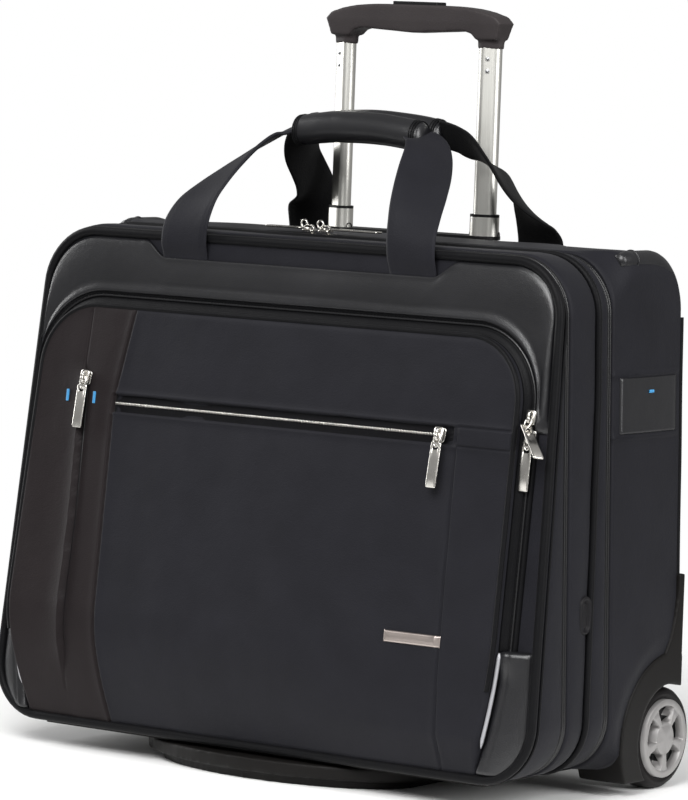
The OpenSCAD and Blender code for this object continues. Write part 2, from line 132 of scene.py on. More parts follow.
# The floor paper thins out into the backdrop, so that no horizon shows.
floor_paint, floor_output = new_material("floor paper")
floor_place = add(floor_paint, "ShaderNodeTexCoord")
floor_ball = add(floor_paint, "ShaderNodeTexGradient", {"Vector": floor_place.outputs["Object"]},
                 gradient_type="SPHERICAL")
floor_fade = add(floor_paint, "ShaderNodeMapRange",
                 {"Value": floor_ball.outputs["Fac"], "From Min": 0.15, "From Max": 0.6},
                 interpolation_type="SMOOTHSTEP")
floor_clear = add(floor_paint, "ShaderNodeBsdfTransparent")
floor_white = add(floor_paint, "ShaderNodeBsdfPrincipled",
                  {"Base Color": linear("#fdfdfc"), "Roughness": 0.95,
                   "Specular IOR Level": 0.1})
floor_shader = add(floor_paint, "ShaderNodeMixShader", {"Fac": floor_fade.outputs["Result"]})
floor_paint.node_tree.links.new(floor_clear.outputs[0], floor_shader.inputs[1])
floor_paint.node_tree.links.new(floor_white.outputs[0], floor_shader.inputs[2])
finish_material(floor_paint, floor_output, floor_shader)
floor_mesh = bpy.data.meshes.new("floor")
floor_half = 1.2
floor_mesh.from_pydata([(-floor_half, -floor_half, 0), (floor_half, -floor_half, 0),
                        (floor_half, floor_half, 0), (-floor_half, floor_half, 0)],
                       [], [(0, 1, 2, 3)])
floor = bpy.data.objects.new("floor", floor_mesh)
floor_mesh.materials.append(floor_paint)
bpy.context.scene.collection.objects.link(floor)

# ---- Main compartment ------------------------------------------------------------
# Three millimetres of padded ballistic nylon, sewn from a gusset and a back panel
# and turned right side out, so that its faces swell a little between the seams.
front_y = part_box("front_shell")[0].y * 1000
half_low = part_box("front_shell")[1].x * 1000
half_top = half_low - 9.5
base_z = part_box("front_shell")[0].z * 1000
front_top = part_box("front_shell")[1].z * 1000
case_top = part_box("rear_shell")[1].z * 1000
back_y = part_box("rear_shell")[1].y * 1000 - front_y
tray_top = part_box("rear_shell")[0].z * 1000
corner_r, low_r = 40.0, 38.0
wall = 3.0
# The back edge's rounding, how far back the panel's top leans, and where the two
# zips that go round the case lie behind the panel's foot.
edge_r = 4.0
panel_lean = 37.8
laptop_zip_y = 40.5
main_zip_y = 92.0
# The zip's half of the gusset starts this far behind the zip's middle.
gusset_gap = 3.2


def smooth(x, a, b):
    """0 before a, 1 after b, and an even S between."""
    t = np.clip((np.asarray(x, float) - a) / (b - a), 0, 1)
    return t * t * (3 - 2 * t)


def ripple(points, size, seed):
    """Soft noise from -1 to 1 at each point, with folds about size mm apart."""
    shift = Vector((seed * 7.3, seed * 3.1, seed * 5.7))
    flat = np.asarray(points, float).reshape(-1, 3) / size
    values = [noise.noise(Vector(p) + shift) for p in flat]
    return np.array(values).reshape(np.shape(points)[:-1])


def outline(half_l, half_t, low, top, r_low, r_top, corner=12, side=70, cross=100):
    """Front-view outline as x, z and outward normals, once round from the bottom middle."""
    def line(p, q, n):
        f = np.linspace(0, 1, n, endpoint=False)[:, None]
        return np.array(p) * (1 - f) + np.array(q) * f

    def bend(cx, cz, r, start, n):
        a = np.radians(np.linspace(start, start + 90, n, endpoint=False))
        return np.stack([cx + r * np.cos(a), cz + r * np.sin(a)], 1)

    half = np.concatenate([
        line((0, low), (half_l - r_low, low), cross // 2),
        bend(half_l - r_low, low + r_low, r_low, -90, corner),
        line((half_l, low + r_low), (half_t, top - r_top), side),
        bend(half_t - r_top, top - r_top, r_top, 0, corner),
        line((half_t - r_top, top), (0, top), cross // 2), np.array([[0, top]])])
    loop = np.concatenate([half, (half * (-1, 1))[-2:0:-1]])
    ahead = np.roll(loop, -1, 0) - np.roll(loop, 1, 0)
    normal = np.stack([ahead[:, 1], -ahead[:, 0]], 1)
    return loop, normal / np.linalg.norm(normal, axis=1)[:, None]


def to_frame(points):
    """Case millimetres to the frame's metres."""
    return (np.asarray(points, float) + (0, front_y, 0)) / 1000


def skin(name, grid, material, body, across=False, poles=()):
    """A closed piece from rings of points in case millimetres: across joins the last
    ring to the first, and a pole closes ring 0 or ring -1 with a fan of triangles."""
    grid = np.asarray(grid, float)
    rows, columns = grid.shape[:2]
    verts = to_frame(grid.reshape(-1, 3))
    index = np.arange(rows * columns).reshape(rows, columns)
    down = index if not across else np.vstack([index, index[:1]])
    along = np.hstack([down, down[:, :1]])
    quads = np.stack([along[:-1, :-1], along[:-1, 1:], along[1:, 1:], along[1:, :-1]], -1)
    faces = [list(q) for q in quads.reshape(-1, 4)]
    extra = []
    for row in poles:
        ring = index[row]
        extra.append(verts[ring].mean(0))
        tip = len(verts) + len(extra) - 1
        pairs = list(zip(ring, np.roll(ring, -1)))
        faces += [[a, b, tip] if row else [b, a, tip] for a, b in pairs]
    if extra:
        verts = np.vstack([verts, extra])
    mesh = bpy.data.meshes.new(name)
    mesh.from_pydata([tuple(v) for v in verts], [], faces)
    mesh.validate()
    return piece(name, mesh, material, body)


def piece(name, mesh, material, body):
    """A smooth-shaded object of the mesh, its faces turned outward, riding on the body."""
    loose = bmesh.new()
    loose.from_mesh(mesh)
    bmesh.ops.recalc_face_normals(loose, faces=loose.faces)
    loose.to_mesh(mesh)
    loose.free()
    mesh.polygons.foreach_set("use_smooth", [True] * len(mesh.polygons))
    mesh.materials.append(material)
    made = bpy.data.objects.new(name, mesh)
    bpy.context.scene.collection.objects.link(made)
    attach(made, body)
    return made


def normals(grid):
    """Unit normals of a stack of rings of points."""
    ahead = np.roll(grid, -1, 1) - np.roll(grid, 1, 1)
    n = np.cross(ahead, np.gradient(grid, axis=0))
    return n / np.maximum(np.linalg.norm(n, axis=2), 1e-9)[..., None]


# Ballistic nylon is a plain weave of thick filament yarn: near black, with a satin
# light on the yarn. Its real 0.5 mm weave is drawn at 1 mm, so that it shows.
def nylon_cloth(name, colour, weave_mm, rough, coarse):
    """A woven nylon between two colours; coarse is how deep the weave is."""
    material, output = new_material(name)
    place = add(material, "ShaderNodeTexCoord")
    tone = add(material, "ShaderNodeTexNoise",
               {"Vector": place.outputs["Object"], "Scale": 35.0, "Detail": 5.0})
    shade = add(material, "ShaderNodeMix", {"Factor": tone.outputs["Fac"]}, data_type="RGBA")
    shade.inputs["A"].default_value = linear(colour[0])
    shade.inputs["B"].default_value = linear(colour[1])
    yarn = add(material, "ShaderNodeTexVoronoi",
               {"Vector": place.outputs["Object"], "Scale": 1000 / weave_mm},
               feature="SMOOTH_F1")
    crease = add(material, "ShaderNodeTexNoise",
                 {"Vector": place.outputs["Object"], "Scale": 60.0, "Detail": 3.0})
    fine = add(material, "ShaderNodeBump", {"Height": yarn.outputs["Distance"],
                                           "Strength": coarse, "Distance": 0.0004})
    soft = add(material, "ShaderNodeBump", {"Height": crease.outputs["Fac"], "Strength": 0.25,
                                           "Distance": 0.0015, "Normal": fine.outputs["Normal"]})
    patch = add(material, "ShaderNodeMapRange",
                {"Value": tone.outputs["Fac"], "To Min": rough - 0.06, "To Max": rough + 0.06})
    shader = add(material, "ShaderNodeBsdfPrincipled",
                 {"Base Color": shade.outputs["Result"], "Roughness": patch.outputs["Result"],
                  "Normal": soft.outputs["Normal"], "Sheen Weight": 0.03,
                  "Sheen Roughness": 0.5, "IOR": 1.5, "Specular IOR Level": 0.1})
    return finish_material(material, output, shader)


nylon = nylon_cloth("ballistic nylon", ("#17171b", "#1f1f24"), 1.0, 0.55, 0.3)
# The same cloth from a browner dye lot, as the strip left of the pocket's flap shows.
warm_nylon = nylon_cloth("brown-black ballistic nylon", ("#1a1617", "#211c1d"), 1.0, 0.55, 0.3)
# Polyester lining: a finer, flatter cloth, a little bluer and with no shine.
lining = nylon_cloth("polyester lining", ("#1c1c22", "#24242b"), 1.4, 0.7, 0.4)

# The gusset runs straight from the zip, then rounds over into the back panel:
# widely at the top outer corners, tightly between the handles and down the sides.
rear_rows = np.linspace(0, 1, 22)
bend_rows = np.radians(np.linspace(6, 90, 10))
cap_rows = np.concatenate([np.linspace(0.985, 0.76, 16), np.linspace(0.7, 0.06, 9)])


def back_limit(x, z, inset):
    """How far back the case reaches: its upper back edge rounds over, widely at the
    outer corners and tightly between the handles."""
    r = 14 + 26 * smooth(np.abs(x), 118, 152)
    over = np.clip(z - (case_top - r), 0, r - inset)
    return back_y - r + np.sqrt(np.maximum((r - inset) ** 2 - over ** 2, 0))


def rear_surface(inset):
    """Rows of points from the zip edge over the back corner to the panel's middle."""
    fixed = 1 - inset / wall
    rows = []
    for f in rear_rows:
        loose = smooth(main_zip_y + gusset_gap + f * 80, 92, 125)
        loop, out = outline(half_low - inset, half_top - inset, tray_top + inset, case_top - inset,
                            low_r - 20 * loose, corner_r - inset - (corner_r - 16) * loose, side=220)
        end = back_limit(loop[:, 0], loop[:, 1], inset) - edge_r
        y = main_zip_y + gusset_gap + f * (end - main_zip_y - gusset_gap)
        loop = loop + out * np.sin(math.pi * f) * fixed * 1.6
        rows.append(np.stack([loop[:, 0], y, loop[:, 1]], 1))
    on_top = smooth(out[:, 1], 0.3, 0.9)
    for a in bend_rows:
        at = loop - out * (edge_r * (1 - math.cos(a)) * (1 - 0.9 * on_top))[:, None]
        y = back_limit(at[:, 0], at[:, 1], inset) - edge_r * (1 - math.sin(a))
        rows.append(np.stack([at[:, 0], y, at[:, 1]], 1))
    last = rows[-1]
    middle = np.array([0, 0, (case_top + tray_top) / 2])
    for f in cap_rows:
        flat = middle + (last - middle) * (f, 1, f)
        flat[:, 1] = (back_limit(flat[:, 0], flat[:, 2], inset)
                      + 1.2 * math.sin(math.pi * f) * fixed)
        rows.append(flat)
    return np.array(rows)


def beside_wheel(rows, inside):
    """Sinks the gusset under the moulded wheel housings and clears the wheel well."""
    wheel_y, wheel_z, arch, skin_x, well_x = 174, 35, 60, 225.5, 186
    far = np.hypot(rows[..., 1] - wheel_y, np.minimum(rows[..., 2] - wheel_z, 0) * 0.6
                   + np.maximum(rows[..., 2] - wheel_z, 0))
    reach = np.abs(rows[..., 0])
    low = skin_x - inside + (reach - skin_x + inside) * smooth(far, arch + 1, arch + 14)
    reach = np.where((reach > well_x) & (far < arch + 14), np.minimum(reach, low), reach)
    reach = np.where(far < arch - 4, np.minimum(reach, well_x - inside), reach)
    rows[..., 0] = np.sign(rows[..., 0]) * reach
    return rows


outer = beside_wheel(rear_surface(0.0), 0)
out_normal = normals(outer)
edge_hold = np.minimum(np.arange(len(outer)) / 3.0, 1)[:, None]
outer -= out_normal * (ripple(outer, 70, 1) * edge_hold * 0.9)[..., None]
on_side = smooth(np.abs(outer[..., 0]), 196, 206) * smooth(outer[..., 1], back_y - 2, back_y - 9)
side_seams = sum(np.exp(-((outer[..., 2] - z) / 1.3) ** 2) for z in (287, 245))
outer -= out_normal * (on_side * side_seams * 1.5)[..., None]
inner = beside_wheel(rear_surface(wall), wall)
main_shell = skin("main_compartment", np.concatenate([inner[::-1], outer]), nylon, "case",
                  poles=(0, -1))
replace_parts(main_shell, "rear_shell")


# Piping is a nylon strip sewn round a plastic cord: every seam of the shell that
# takes wear has one, so that the edge stands up as a smooth dark roll.
def roll(name, path, radius, material, body, closed=False, sides=10, flange=None):
    """A tube along a path of case-millimetre points; its rings start from flange."""
    path = np.asarray(path, float)
    if closed:
        ahead = np.roll(path, -1, 0) - np.roll(path, 1, 0)
    else:
        ahead = np.gradient(path, axis=0)
    ahead /= np.linalg.norm(ahead, axis=1)[:, None]
    up = np.broadcast_to(np.asarray((0, 1, 0) if flange is None else flange, float), path.shape)
    a = np.cross(ahead, up)
    a /= np.linalg.norm(a, axis=1)[:, None]
    b = np.cross(a, ahead)
    turn = np.linspace(0, 2 * math.pi, sides, endpoint=False)
    size = np.broadcast_to(np.asarray(radius, float), (len(path),))[:, None, None]
    grid = path[:, None] + size * (a[:, None] * np.cos(turn)[None, :, None]
                                   + b[:, None] * np.sin(turn)[None, :, None])
    return skin(name, grid, material, body, across=closed, poles=() if closed else (0, -1))


# Piping nylon: pulled tight, so the weave lies flat and the roll reads nearly black.
piping_cloth = nylon_cloth("piping nylon", ("#08080a", "#0d0d0f"), 0.8, 0.5, 0.3)
bend_middle = outer[len(rear_rows) + 5]
for side, word in ((1, "right"), (-1, "left")):
    keep = (bend_middle[:, 0] * side > 150) & (bend_middle[:, 2] > 92)
    path = bend_middle[keep & (bend_middle[:, 2] < case_top - 44)]
    path = path[np.argsort(path[:, 2])] + (side * 0.3, 0.3, 0)
    roll(f"back_piping_{word}", path, 1.9, piping_cloth, "case")

# ---- Corner guards and leather side bands -----------------------------------------
# Pressed leather tubes over the corners that take the knocks, and a flat leather
# patch glued and edge-stitched to each side; full-grain calf with a satin dressing.
def leather(name, colour, rough, grain_mm):
    """Dressed calf leather: pebbled grain, a soft sheen and slow changes of polish."""
    material, output = new_material(name)
    place = add(material, "ShaderNodeTexCoord")
    tone = add(material, "ShaderNodeTexNoise",
               {"Vector": place.outputs["Object"], "Scale": 14.0, "Detail": 6.0})
    shade = add(material, "ShaderNodeMix", {"Factor": tone.outputs["Fac"]}, data_type="RGBA")
    shade.inputs["A"].default_value = linear(colour[0])
    shade.inputs["B"].default_value = linear(colour[1])
    pebble = add(material, "ShaderNodeTexVoronoi",
                 {"Vector": place.outputs["Object"], "Scale": 1000 / grain_mm},
                 feature="DISTANCE_TO_EDGE")
    hide = add(material, "ShaderNodeTexNoise",
               {"Vector": place.outputs["Object"], "Scale": 90.0, "Detail": 4.0})
    grain = add(material, "ShaderNodeBump", {"Height": pebble.outputs["Distance"],
                                            "Strength": 0.25, "Distance": 0.0005})
    slack = add(material, "ShaderNodeBump", {"Height": hide.outputs["Fac"], "Strength": 0.2,
                                            "Distance": 0.0015, "Normal": grain.outputs["Normal"]})
    polish = add(material, "ShaderNodeMapRange",
                 {"Value": tone.outputs["Fac"], "To Min": rough - 0.08, "To Max": rough + 0.08})
    shader = add(material, "ShaderNodeBsdfPrincipled",
                 {"Base Color": shade.outputs["Result"], "Roughness": polish.outputs["Result"],
                  "Normal": slack.outputs["Normal"], "IOR": 1.5, "Specular IOR Level": 0.6})
    return finish_material(material, output, shader)


# Calf with a satin dressing: black with soft wide highlights and a fine pebble grain.
calf = leather("dressed calf leather", ("#111113", "#19191c"), 0.33, 1.1)
guard_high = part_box("corner_guards")[1]
guard_r = 6.5
bend_r = 35.0
for side, word in ((1, "right"), (-1, "left")):
    x = side * (guard_high.x * 1000 - guard_r)
    y_mid, z_mid = back_y + 1 - guard_r - bend_r + 1.5, guard_high.z * 1000 - guard_r - bend_r
    down = [(x, y_mid + bend_r, z) for z in np.linspace(z_mid - 24, z_mid, 8, endpoint=False)]
    turn = np.radians(np.linspace(0, 90, 22, endpoint=False))
    arc = [(x, y_mid + bend_r * math.cos(a), z_mid + bend_r * math.sin(a)) for a in turn]
    ahead = [(x, y, z_mid + bend_r) for y in np.linspace(y_mid, y_mid - 34, 12)]
    path = np.array(down + arc + ahead)
    reach = np.linspace(0, 1, len(path))
    taper = 0.55 + 0.45 * smooth(reach, 0, 0.12) * (1 - 0.7 * smooth(reach, 0.93, 1))
    guard = roll(f"corner_guard_{word}", path, guard_r * taper, calf, "case", sides=20,
                 flange=(1, 0, 0))
    ring_turn = np.linspace(0, 2 * math.pi, 28, endpoint=False)
    ring = [(x + (guard_r + 0.1) * math.cos(a), path[-6][1], path[-6][2]
             + (guard_r + 0.1) * math.sin(a)) for a in ring_turn]
    roll(f"guard_seam_{word}", ring, 0.7, calf, "case", closed=True, sides=6)
    if side > 0:
        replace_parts(guard, "corner_guards")


def sheet_piece(name, front, back, material, body):
    """A closed slab between two grids of the same shape."""
    front, back = np.asarray(front, float), np.asarray(back, float)
    rows, columns = front.shape[:2]
    index = np.arange(rows * columns).reshape(rows, columns)
    base = rows * columns
    faces = []
    for grid, flip in ((index, False), (index + base, True)):
        quads = np.stack([grid[:-1, :-1], grid[:-1, 1:], grid[1:, 1:], grid[1:, :-1]], -1)
        quads = quads.reshape(-1, 4)
        faces += [list(q[::-1] if flip else q) for q in quads]
    rim = np.concatenate([index[0, :-1], index[:-1, -1], index[-1, :0:-1], index[:0:-1, 0]])
    faces += [[b, a, a + base, b + base] for a, b in zip(rim, np.roll(rim, -1))]
    mesh = bpy.data.meshes.new(name)
    points = to_frame(np.concatenate([front.reshape(-1, 3), back.reshape(-1, 3)]))
    mesh.from_pydata([tuple(p) for p in points], [], faces)
    mesh.validate()
    return piece(name, mesh, material, body)


# Twisted polyester thread: bright blue, ribbed across, the one strong colour.
tack_blue, tack_output = new_material("blue polyester thread")
tack_place = add(tack_blue, "ShaderNodeTexCoord")
tack_twist = add(tack_blue, "ShaderNodeTexWave",
                 {"Vector": tack_place.outputs["Object"], "Scale": 450.0, "Distortion": 1.0})
tack_bump = add(tack_blue, "ShaderNodeBump", {"Height": tack_twist.outputs["Fac"],
                                             "Strength": 0.4, "Distance": 0.0003})
tack_shader = add(tack_blue, "ShaderNodeBsdfPrincipled",
                  {"Base Color": linear("#2f93cc"), "Roughness": 0.5,
                   "Sheen Weight": 0.3, "Normal": tack_bump.outputs["Normal"]})
finish_material(tack_blue, tack_output, tack_shader)


def joined(name, parts, material, body):
    """One piece from several (points, faces) meshes in case millimetres."""
    points, faces = [], []
    for part_points, part_faces in parts:
        faces += [[i + len(points) for i in face] for face in part_faces]
        points += [tuple(p) for p in to_frame(part_points)]
    mesh = bpy.data.meshes.new(name)
    mesh.from_pydata(points, [], faces)
    mesh.validate()
    return piece(name, mesh, material, body)


def bead(centre, along, up, length, width, height, rings=7, sides=8):
    """Points and faces of a rounded bar: one thread, tooth or rivet."""
    along, up = np.asarray(along, float), np.asarray(up, float)
    along, across = along / np.linalg.norm(along), np.cross(up, along)
    across /= np.linalg.norm(across)
    up = np.cross(along, across)
    a = np.linspace(0.12, math.pi - 0.12, rings)
    turn = np.linspace(0, 2 * math.pi, sides, endpoint=False)
    points = [np.asarray(centre, float) - along * length / 2 * math.cos(t)
              + across * width / 2 * math.sin(t) ** 0.5 * math.cos(b)
              + up * height / 2 * math.sin(t) ** 0.5 * math.sin(b) for t in a for b in turn]
    faces = []
    for i in range(rings - 1):
        for j in range(sides):
            k = (j + 1) % sides
            faces.append([i * sides + j, i * sides + k, (i + 1) * sides + k, (i + 1) * sides + j])
    faces.append(list(range(sides))[::-1])
    faces.append([(rings - 1) * sides + j for j in range(sides)])
    return points, faces


def bar_tack(name, place, along, out, body, length, width):
    """A dense zigzag of thread: short beads side by side over two long ones."""
    along, out = np.asarray(along, float), np.asarray(out, float)
    across = np.cross(out, along)
    place = np.asarray(place, float)
    parts = [bead(place + out * 0.2 + across * s, along, out, length, 1.0, 1.0) for s in (-0.6, 0.6)]
    for f in np.arange(-length / 2 + 0.6, length / 2 - 0.3, 0.75):
        parts.append(bead(place + out * 0.55 + along * f, across, out, width, 0.75, 0.9, 5, 6))
    made = joined(name, parts, tack_blue, body)


band_low, band_high = (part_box("side_bands")[k] * 1000 for k in (0, 1))
for side, word in ((1, "right"), (-1, "left")):
    ys = np.linspace(band_low.y - front_y, band_high.y - front_y, 30)
    zs = np.linspace(band_low.z, band_high.z, 26)
    y, z = np.meshgrid(ys, zs)
    edge = np.minimum(np.minimum(y - ys[0], ys[-1] - y), np.minimum(z - zs[0], zs[-1] - z))
    up_side = (z - base_z - low_r) / (case_top - corner_r - base_z - low_r)
    shell = half_low - (half_low - half_top) * up_side
    swell = 1.6 * np.sin(math.pi * (y - main_zip_y) / (back_y - main_zip_y))
    stitch = 0.35 * np.exp(-((edge - 2.6) / 0.6) ** 2)
    high = shell + swell + 0.3 + 1.1 * smooth(edge, -0.4, 1.2) - stitch
    front = np.stack([side * high, y, z], 2)
    back = np.stack([side * (shell + swell - 1.5), y, z], 2)
    if side > 0:
        front, back = front[:, ::-1], back[:, ::-1]
    made = sheet_piece(f"side_band_{word}", front, back, calf, "case")
    if side > 0:
        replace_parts(made, "side_bands")
    bar_tack(f"band_tack_{word}", (side * (high.mean() + 0.4), 139.5, zs[-1] - 10), (0, 1, 0),
             (side, 0, 0), "case", 6.0, 2.0)

# ---- Zips -----------------------------------------------------------------------
# Nylon coil zips: a woven tape carries a spun coil on each edge. The coil's real
# 1.5 mm pitch is kept; each half is its own piece, because it stays with its side.
# The coil is spun nylon monofilament: black, with a small glint on every turn.
coil_nylon, coil_output = new_material("zip coil nylon")
coil_shader = add(coil_nylon, "ShaderNodeBsdfPrincipled",
                  {"Base Color": linear("#0c0c0e"), "Roughness": 0.35, "IOR": 1.53})
coil_place = add(coil_nylon, "ShaderNodeTexCoord")
coil_wave = add(coil_nylon, "ShaderNodeTexNoise",
                {"Vector": coil_place.outputs["Object"], "Scale": 900.0, "Detail": 2.0})
coil_bump = add(coil_nylon, "ShaderNodeBump", {"Height": coil_wave.outputs["Fac"],
                                              "Strength": 0.3, "Distance": 0.0003})
coil_nylon.node_tree.links.new(coil_bump.outputs["Normal"], coil_shader.inputs["Normal"])
finish_material(coil_nylon, coil_output, coil_shader)
tape_cloth = nylon_cloth("zip tape", ("#0a0a0c", "#0e0e11"), 0.9, 0.6, 0.5)
tape_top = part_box("main_zip_front")[1].z * 1000
coil_pitch = 1.5


def around_case(step, inset, top):
    """Evenly spaced outline points about step mm apart, and their outward normals."""
    loop, out = outline(half_low - inset, half_top - inset, base_z + inset, top - inset,
                        low_r - inset, corner_r - inset, 24, 240, 360)
    ring = np.vstack([loop, loop[:1]])
    run = np.concatenate([[0], np.cumsum(np.linalg.norm(np.diff(ring, axis=0), axis=1))])
    count = int(run[-1] / step)
    at = np.linspace(0, run[-1], count, endpoint=False)
    place = np.stack([np.interp(at, run, ring[:, k]) for k in (0, 1)], 1)
    both = np.vstack([out, out[:1]])
    face = np.stack([np.interp(at, run, both[:, k]) for k in (0, 1)], 1)
    return place, face / np.linalg.norm(face, axis=1)[:, None]


def zip_half(name, y_edge, y_coil, body, front):
    """Half a zip round the case: a tape under a lumpy coil on the side that meets."""
    place, face = around_case(coil_pitch / 2, 0, tape_top)
    lump = 1.15 + 0.25 * np.cos(math.pi * np.arange(len(place)))
    path = np.stack([place[:, 0] - 0.6 * face[:, 0], np.full(len(place), y_coil),
                     place[:, 1] - 0.6 * face[:, 1]], 1)
    coil = roll(f"{name}_coil", path, lump, coil_nylon, body, closed=True, sides=6)
    place, face = around_case(6, 0, tape_top)
    depths = np.array([(y_edge, -1.0), (y_coil, -1.0), (y_coil, -2.2), (y_edge, -2.2)])
    rows = [np.stack([place[:, 0] + d * face[:, 0], np.full(len(place), y),
                      place[:, 1] + d * face[:, 1]], 1) for y, d in depths]
    if front:
        rows = rows[::-1]
    tape = skin(f"{name}_tape", rows, tape_cloth, body, across=True)
    return tape


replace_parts(zip_half("main_zip_rear", main_zip_y + 5, main_zip_y + 1.0, "case", False), "main_zip_rear")
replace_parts(zip_half("main_zip_front", main_zip_y - 5, main_zip_y - 1.4, "laptop_section", True),
            "main_zip_front")
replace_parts(zip_half("laptop_zip_rear", laptop_zip_y + 4, laptop_zip_y + 1.3, "laptop_section", False),
            "laptop_zip_rear")
zip_half("laptop_zip_front", laptop_zip_y - 3.5, laptop_zip_y - 0.9, "front_section", True)

# ---- Laptop section ----------------------------------------------------------------
# A padded nylon band between the two zips, with piping where its two strips meet,
# and a quilted divider that closes it towards the main compartment.
def band_rows(depth):
    """Rows of the band's surface; depth moves it in, and the crown fades with it."""
    loop, out = outline(half_low, half_top, base_z, tape_top, low_r, corner_r)
    keep = 1 - depth / wall
    seam = 66.5 + 11.0 * np.clip((loop[:, 1] - 60) / 210, 0, 1)
    first, last = laptop_zip_y + 2.4, main_zip_y - 3.4
    rows = []
    for f in np.linspace(0, 1, 15):
        y = first + (seam - 4 - first) * f
        rise = 1.5 * math.sin(math.pi * f) ** 0.6 + 0.9 * smooth(f, 0, 0.06) * (1 - f)
        rows.append((y, rise))
    for f, rise in ((0.25, -0.9), (0.75, -0.9)):
        rows.append((seam - 4 + 8 * f, np.full(len(seam), rise)))
    for f in np.linspace(0, 1, 9):
        y = seam + 4 + (last - seam - 4) * f
        rise = 0.9 * math.sin(math.pi * f) ** 0.6 + 0.6 * f * smooth(f, 1.06, 0.94)
        rows.append((y, rise))
    made = []
    for y, rise in rows:
        high = np.asarray(rise) * keep - depth
        y = np.broadcast_to(y, (len(loop),))
        made.append(np.stack([loop[:, 0] + out[:, 0] * high, y, loop[:, 1] + out[:, 1] * high], 1))
    return np.array(made), loop, out, seam


band, band_loop, band_out, band_seam = band_rows(0)
band_face = normals(band)
hold = np.sin(math.pi * np.linspace(0, 1, len(band)))[:, None, None]
band = band + band_face * hold * ripple(band * (0.5, 1, 1), 34, 3)[..., None] * 0.55
band_inside = band_rows(wall)[0]
laptop_band = skin("laptop_band", np.concatenate([band_inside[::-1], band]), nylon,
                   "laptop_section", across=True)
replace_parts(laptop_band, "laptop_shell")
seam_roll = np.stack([band_loop[:, 0] + band_out[:, 0] * 0.4, band_seam,
                      band_loop[:, 1] + band_out[:, 1] * 0.4], 1)
roll("laptop_piping", seam_roll, 2.5, piping_cloth, "laptop_section", closed=True,
             sides=12)

pad_front, pad_back = (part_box("divider_pad")[k].y * 1000 - front_y for k in (0, 1))


def pad_rows(y, lift):
    """Concentric rows over the divider, quilted in 60 mm diamonds."""
    loop, out = outline(half_low - 4, half_top - 4, base_z + 4, tape_top - 4, low_r - 4,
                        corner_r - 4)
    middle = np.array([0, (base_z + tape_top) / 2])
    rows = []
    for f in np.linspace(1, 0.04, 46):
        flat = middle + (loop - middle) * f
        u, v = (flat[:, 0] + flat[:, 1]) / 60, (flat[:, 0] - flat[:, 1]) / 60
        quilt = np.minimum(np.abs(np.sin(math.pi * u)), np.abs(np.sin(math.pi * v)))
        crown = min((1 - f) * 12, 1) * quilt ** 0.5 * lift
        rows.append(np.stack([flat[:, 0], y + crown, flat[:, 1]], 1))
    return rows


divider = skin("divider_pad_quilt", np.array(pad_rows(pad_front + 1, -1.0)[::-1]
                                             + pad_rows(pad_back - 1, 1.6)),
               lining, "laptop_section", poles=(0, -1))
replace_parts(divider, "divider_pad")


# ---- Front section ------------------------------------------------------------------
# A wedge of padded nylon: its gusset widens downwards, because the front panel
# leans back, and a thick piping runs round the panel's edge.
lean = math.atan(panel_lean / (front_top - base_z))
panel_h = (front_top - base_z) / math.cos(lean)
panel_out = (0, -math.cos(lean), math.sin(lean))


def on_panel(x, s, out=0.0):
    """Case points for x across, s up the leaning panel and out in front of it."""
    x, s, out = np.broadcast_arrays(*(np.asarray(v, float) for v in (x, s, out)))
    return np.stack([x, s * math.sin(lean) - out * math.cos(lean),
                     base_z + s * math.cos(lean) + out * math.sin(lean)], -1)


def panel_edge(inset):
    """The leaning panel's outline, x across and s up it, and its outward normals."""
    return outline(half_low - inset, half_top - inset, inset, panel_h - inset, low_r - inset,
                   corner_r - inset)


def wedge_rows(depth):
    """Rows from the zip round the gusset and over the panel towards its middle."""
    edge, _ = panel_edge(depth)
    back, out = outline(half_low - depth, half_top - depth, base_z + depth, front_top - depth,
                        low_r - depth, corner_r - depth)
    start = on_panel(edge[:, 0], edge[:, 1], -depth)
    end = np.stack([back[:, 0], np.full(len(back), laptop_zip_y - 2.6), back[:, 1]], 1)
    width = np.maximum(end[:, 1] - start[:, 1], 0)
    end[:, 1] = np.maximum(end[:, 1], start[:, 1] + 0.2)
    rows = []
    for f in np.linspace(1, 0, 16):
        swell = (1 - depth / wall) * np.minimum(width / 18, 1) * 1.7 * math.sin(math.pi * f) ** 0.7
        row = start * (1 - f) + end * f
        row[:, 0] += out[:, 0] * swell
        row[:, 2] += out[:, 1] * swell
        rows.append(row)
    for f in np.linspace(0.985, 0.04, 18):
        rows.append(on_panel(edge[:, 0] * f, panel_h / 2 + (edge[:, 1] - panel_h / 2) * f, -depth))
    return np.array(rows)


wedge = wedge_rows(0)
hold = np.minimum(np.arange(len(wedge)), np.maximum(15 - np.arange(len(wedge)), 0)) / 7.5
wedge = wedge + normals(wedge) * (hold[:, None] * ripple(wedge, 40, 5) * 0.7)[..., None]
front_wall = skin("front_section_wall", np.concatenate([wedge_rows(wall)[::-1], wedge]), nylon,
                  "front_section", poles=(0, -1))
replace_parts(front_wall, "front_shell")
edge, _ = panel_edge(0.8)
edge_roll = roll("front_piping_roll", on_panel(edge[:, 0], edge[:, 1], 0.5), 3.1, piping_cloth,
                 "front_section", closed=True, sides=16, flange=panel_out)
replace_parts(edge_roll, "front_piping")
edge, _ = panel_edge(-1.2)
inner_roll = on_panel(edge[:, 0], edge[:, 1], -4.2)
inner_roll[:, 1] = np.minimum(inner_roll[:, 1], laptop_zip_y - 3.2)
roll("gusset_cord", inner_roll, 1.1, piping_cloth, "front_section", closed=True,
             sides=8)

